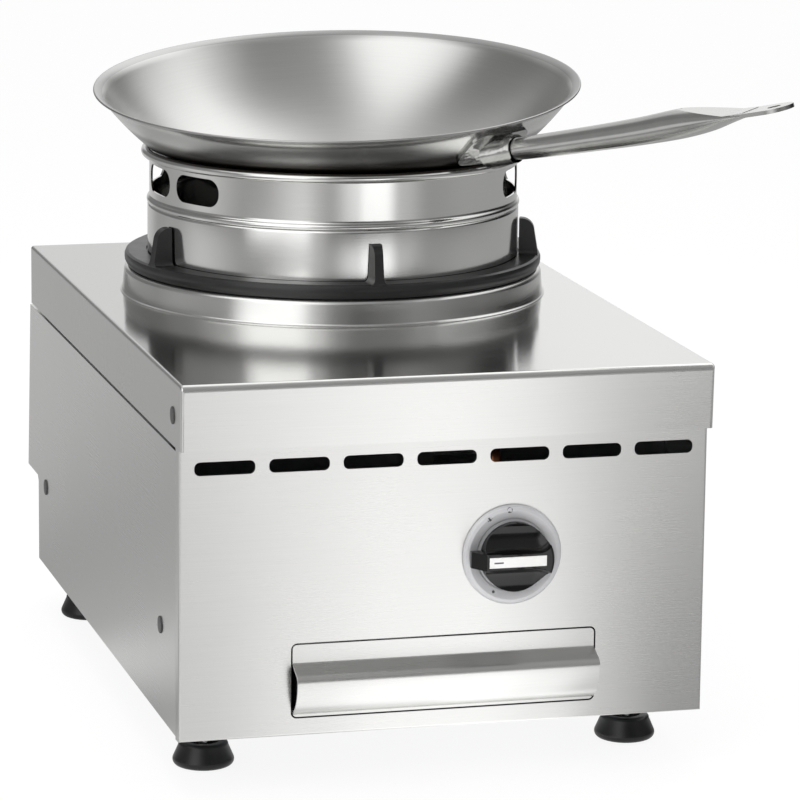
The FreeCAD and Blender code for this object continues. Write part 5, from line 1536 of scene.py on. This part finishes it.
def painted_reflection_around(tree, where):
    """The painted reflection greys that change around the burner."""
    spoke = axes_of(tree, vector_calc(tree, "SUBTRACT", where, BURNER))
    return ramp(tree, turn_share(tree, spoke["X"], spoke["Y"]), FLOOR_STOPS)


def front_band(tree, where):
    """The band before the range: its greys, and a mask that is 1 on it and 0 off it."""
    panel = place(0, PANEL_Y, 0)
    eye = CAMERA_PLACE - panel
    ahead = axes_of(tree, vector_calc(tree, "SUBTRACT", where, panel))
    share = calc(tree, "DIVIDE", ahead["Y"], eye.y)
    shifted = calc(tree, "ADD", ahead["X"], calc(tree, "MULTIPLY", share, eye.x))
    across = calc(tree, "DIVIDE", shifted, calc(tree, "ADD", share, 1.0))
    band = ramp(tree, ranged(tree, across, -BAND_HALF, BAND_HALF), BAND_STOPS)
    near = ranged(tree, ahead["Y"], -BAND_END[1], -BAND_END[0], smooth=True)
    before = calc(tree, "LESS_THAN", ahead["Y"], 0.0)
    inside = ranged(tree, calc(tree, "ABSOLUTE", across), 2 * BAND_HALF, BAND_HALF)
    mask = calc(tree, "MULTIPLY", calc(tree, "MULTIPLY", near, before), inside)
    return band, mask


def painted_floor_reflection(tree):
    """The painted reflection that the floor glows for the steel."""
    where = object_place(tree)
    band, mask = front_band(tree, where)
    return blend(tree, mask, painted_reflection_around(tree, where), band)


def make_floor():
    """A large white sheet just under the feet. Only glossy rays see its greys, a painted reflection
    that it glows.
    """
    bm = bmesh.new()
    bmesh.ops.create_grid(bm, x_segments=1, y_segments=1, size=FLOOR_SIZE / 2)
    bmesh.ops.translate(bm, verts=bm.verts, vec=(0, 0, -FLOOR_DROP))
    floor = finished("floor", bm)
    material, tree, principled = shader("paper_sweep_white", Roughness=0.9, Base_Color=WHITE,
                                        Specular_IOR_Level=0.0)
    output = next(node for node in tree.nodes if node.type == "OUTPUT_MATERIAL")
    path = add(tree, "ShaderNodeLightPath").outputs
    glow = add(tree, "ShaderNodeEmission", {"Color": WHITE, "Strength": 1.0})
    # Painted reflection: the floor glows these greys for glossy rays only.
    shades = add(tree, "ShaderNodeEmission", {"Color": painted_floor_reflection(tree), "Strength": STEEL_SHARE})
    share = calc(tree, "MULTIPLY", path["Is Camera Ray"], WHITE_SHARE)
    seen = add(tree, "ShaderNodeMixShader",
               {0: share, 1: principled.outputs["BSDF"], 2: glow.outputs[0]})
    mirrored = add(tree, "ShaderNodeMixShader",
                   {0: path["Is Glossy Ray"], 1: seen.outputs[0], 2: shades.outputs[0]})
    tree.links.new(mirrored.outputs[0], output.inputs["Surface"])
    floor.data.materials.append(material)


make_floor()
print("floor ready")

# %% [markdown]
# ## Lamps
# One large soft lamp overhead and a little behind, one from the front left and a weak one from the
# right. They light the dark castings and plastics and throw the shadow. The steel shows the room
# instead of them.

# %% Lamps
TARGET = place(0, 300, 250)


def lamp(name, size, power, where):
    """A soft rectangular lamp of a size in metres and a power in watts, aimed at the range."""
    data = bpy.data.lights.new(name, "AREA")
    data.shape = "RECTANGLE"
    data.size, data.size_y = size
    data.energy = power
    obj = bpy.data.objects.new(name, data)
    aim = (TARGET - where).to_track_quat("-Z", "Y")
    obj.matrix_world = Matrix.LocRotScale(where, aim, None)
    obj.visible_glossy = False
    bpy.context.scene.collection.objects.link(obj)
    return obj


lamp("overhead", (1.6, 1.2), 26, place(-200, 500, 2200))
lamp("front_left", (1.0, 1.6), 12, place(-1700, -1700, 1300))
lamp("right", (0.8, 1.2), 6, place(1900, -600, 1200))
print("three lamps")

# %% Finish
scene = bpy.context.scene
scene.view_settings.view_transform = "Standard"
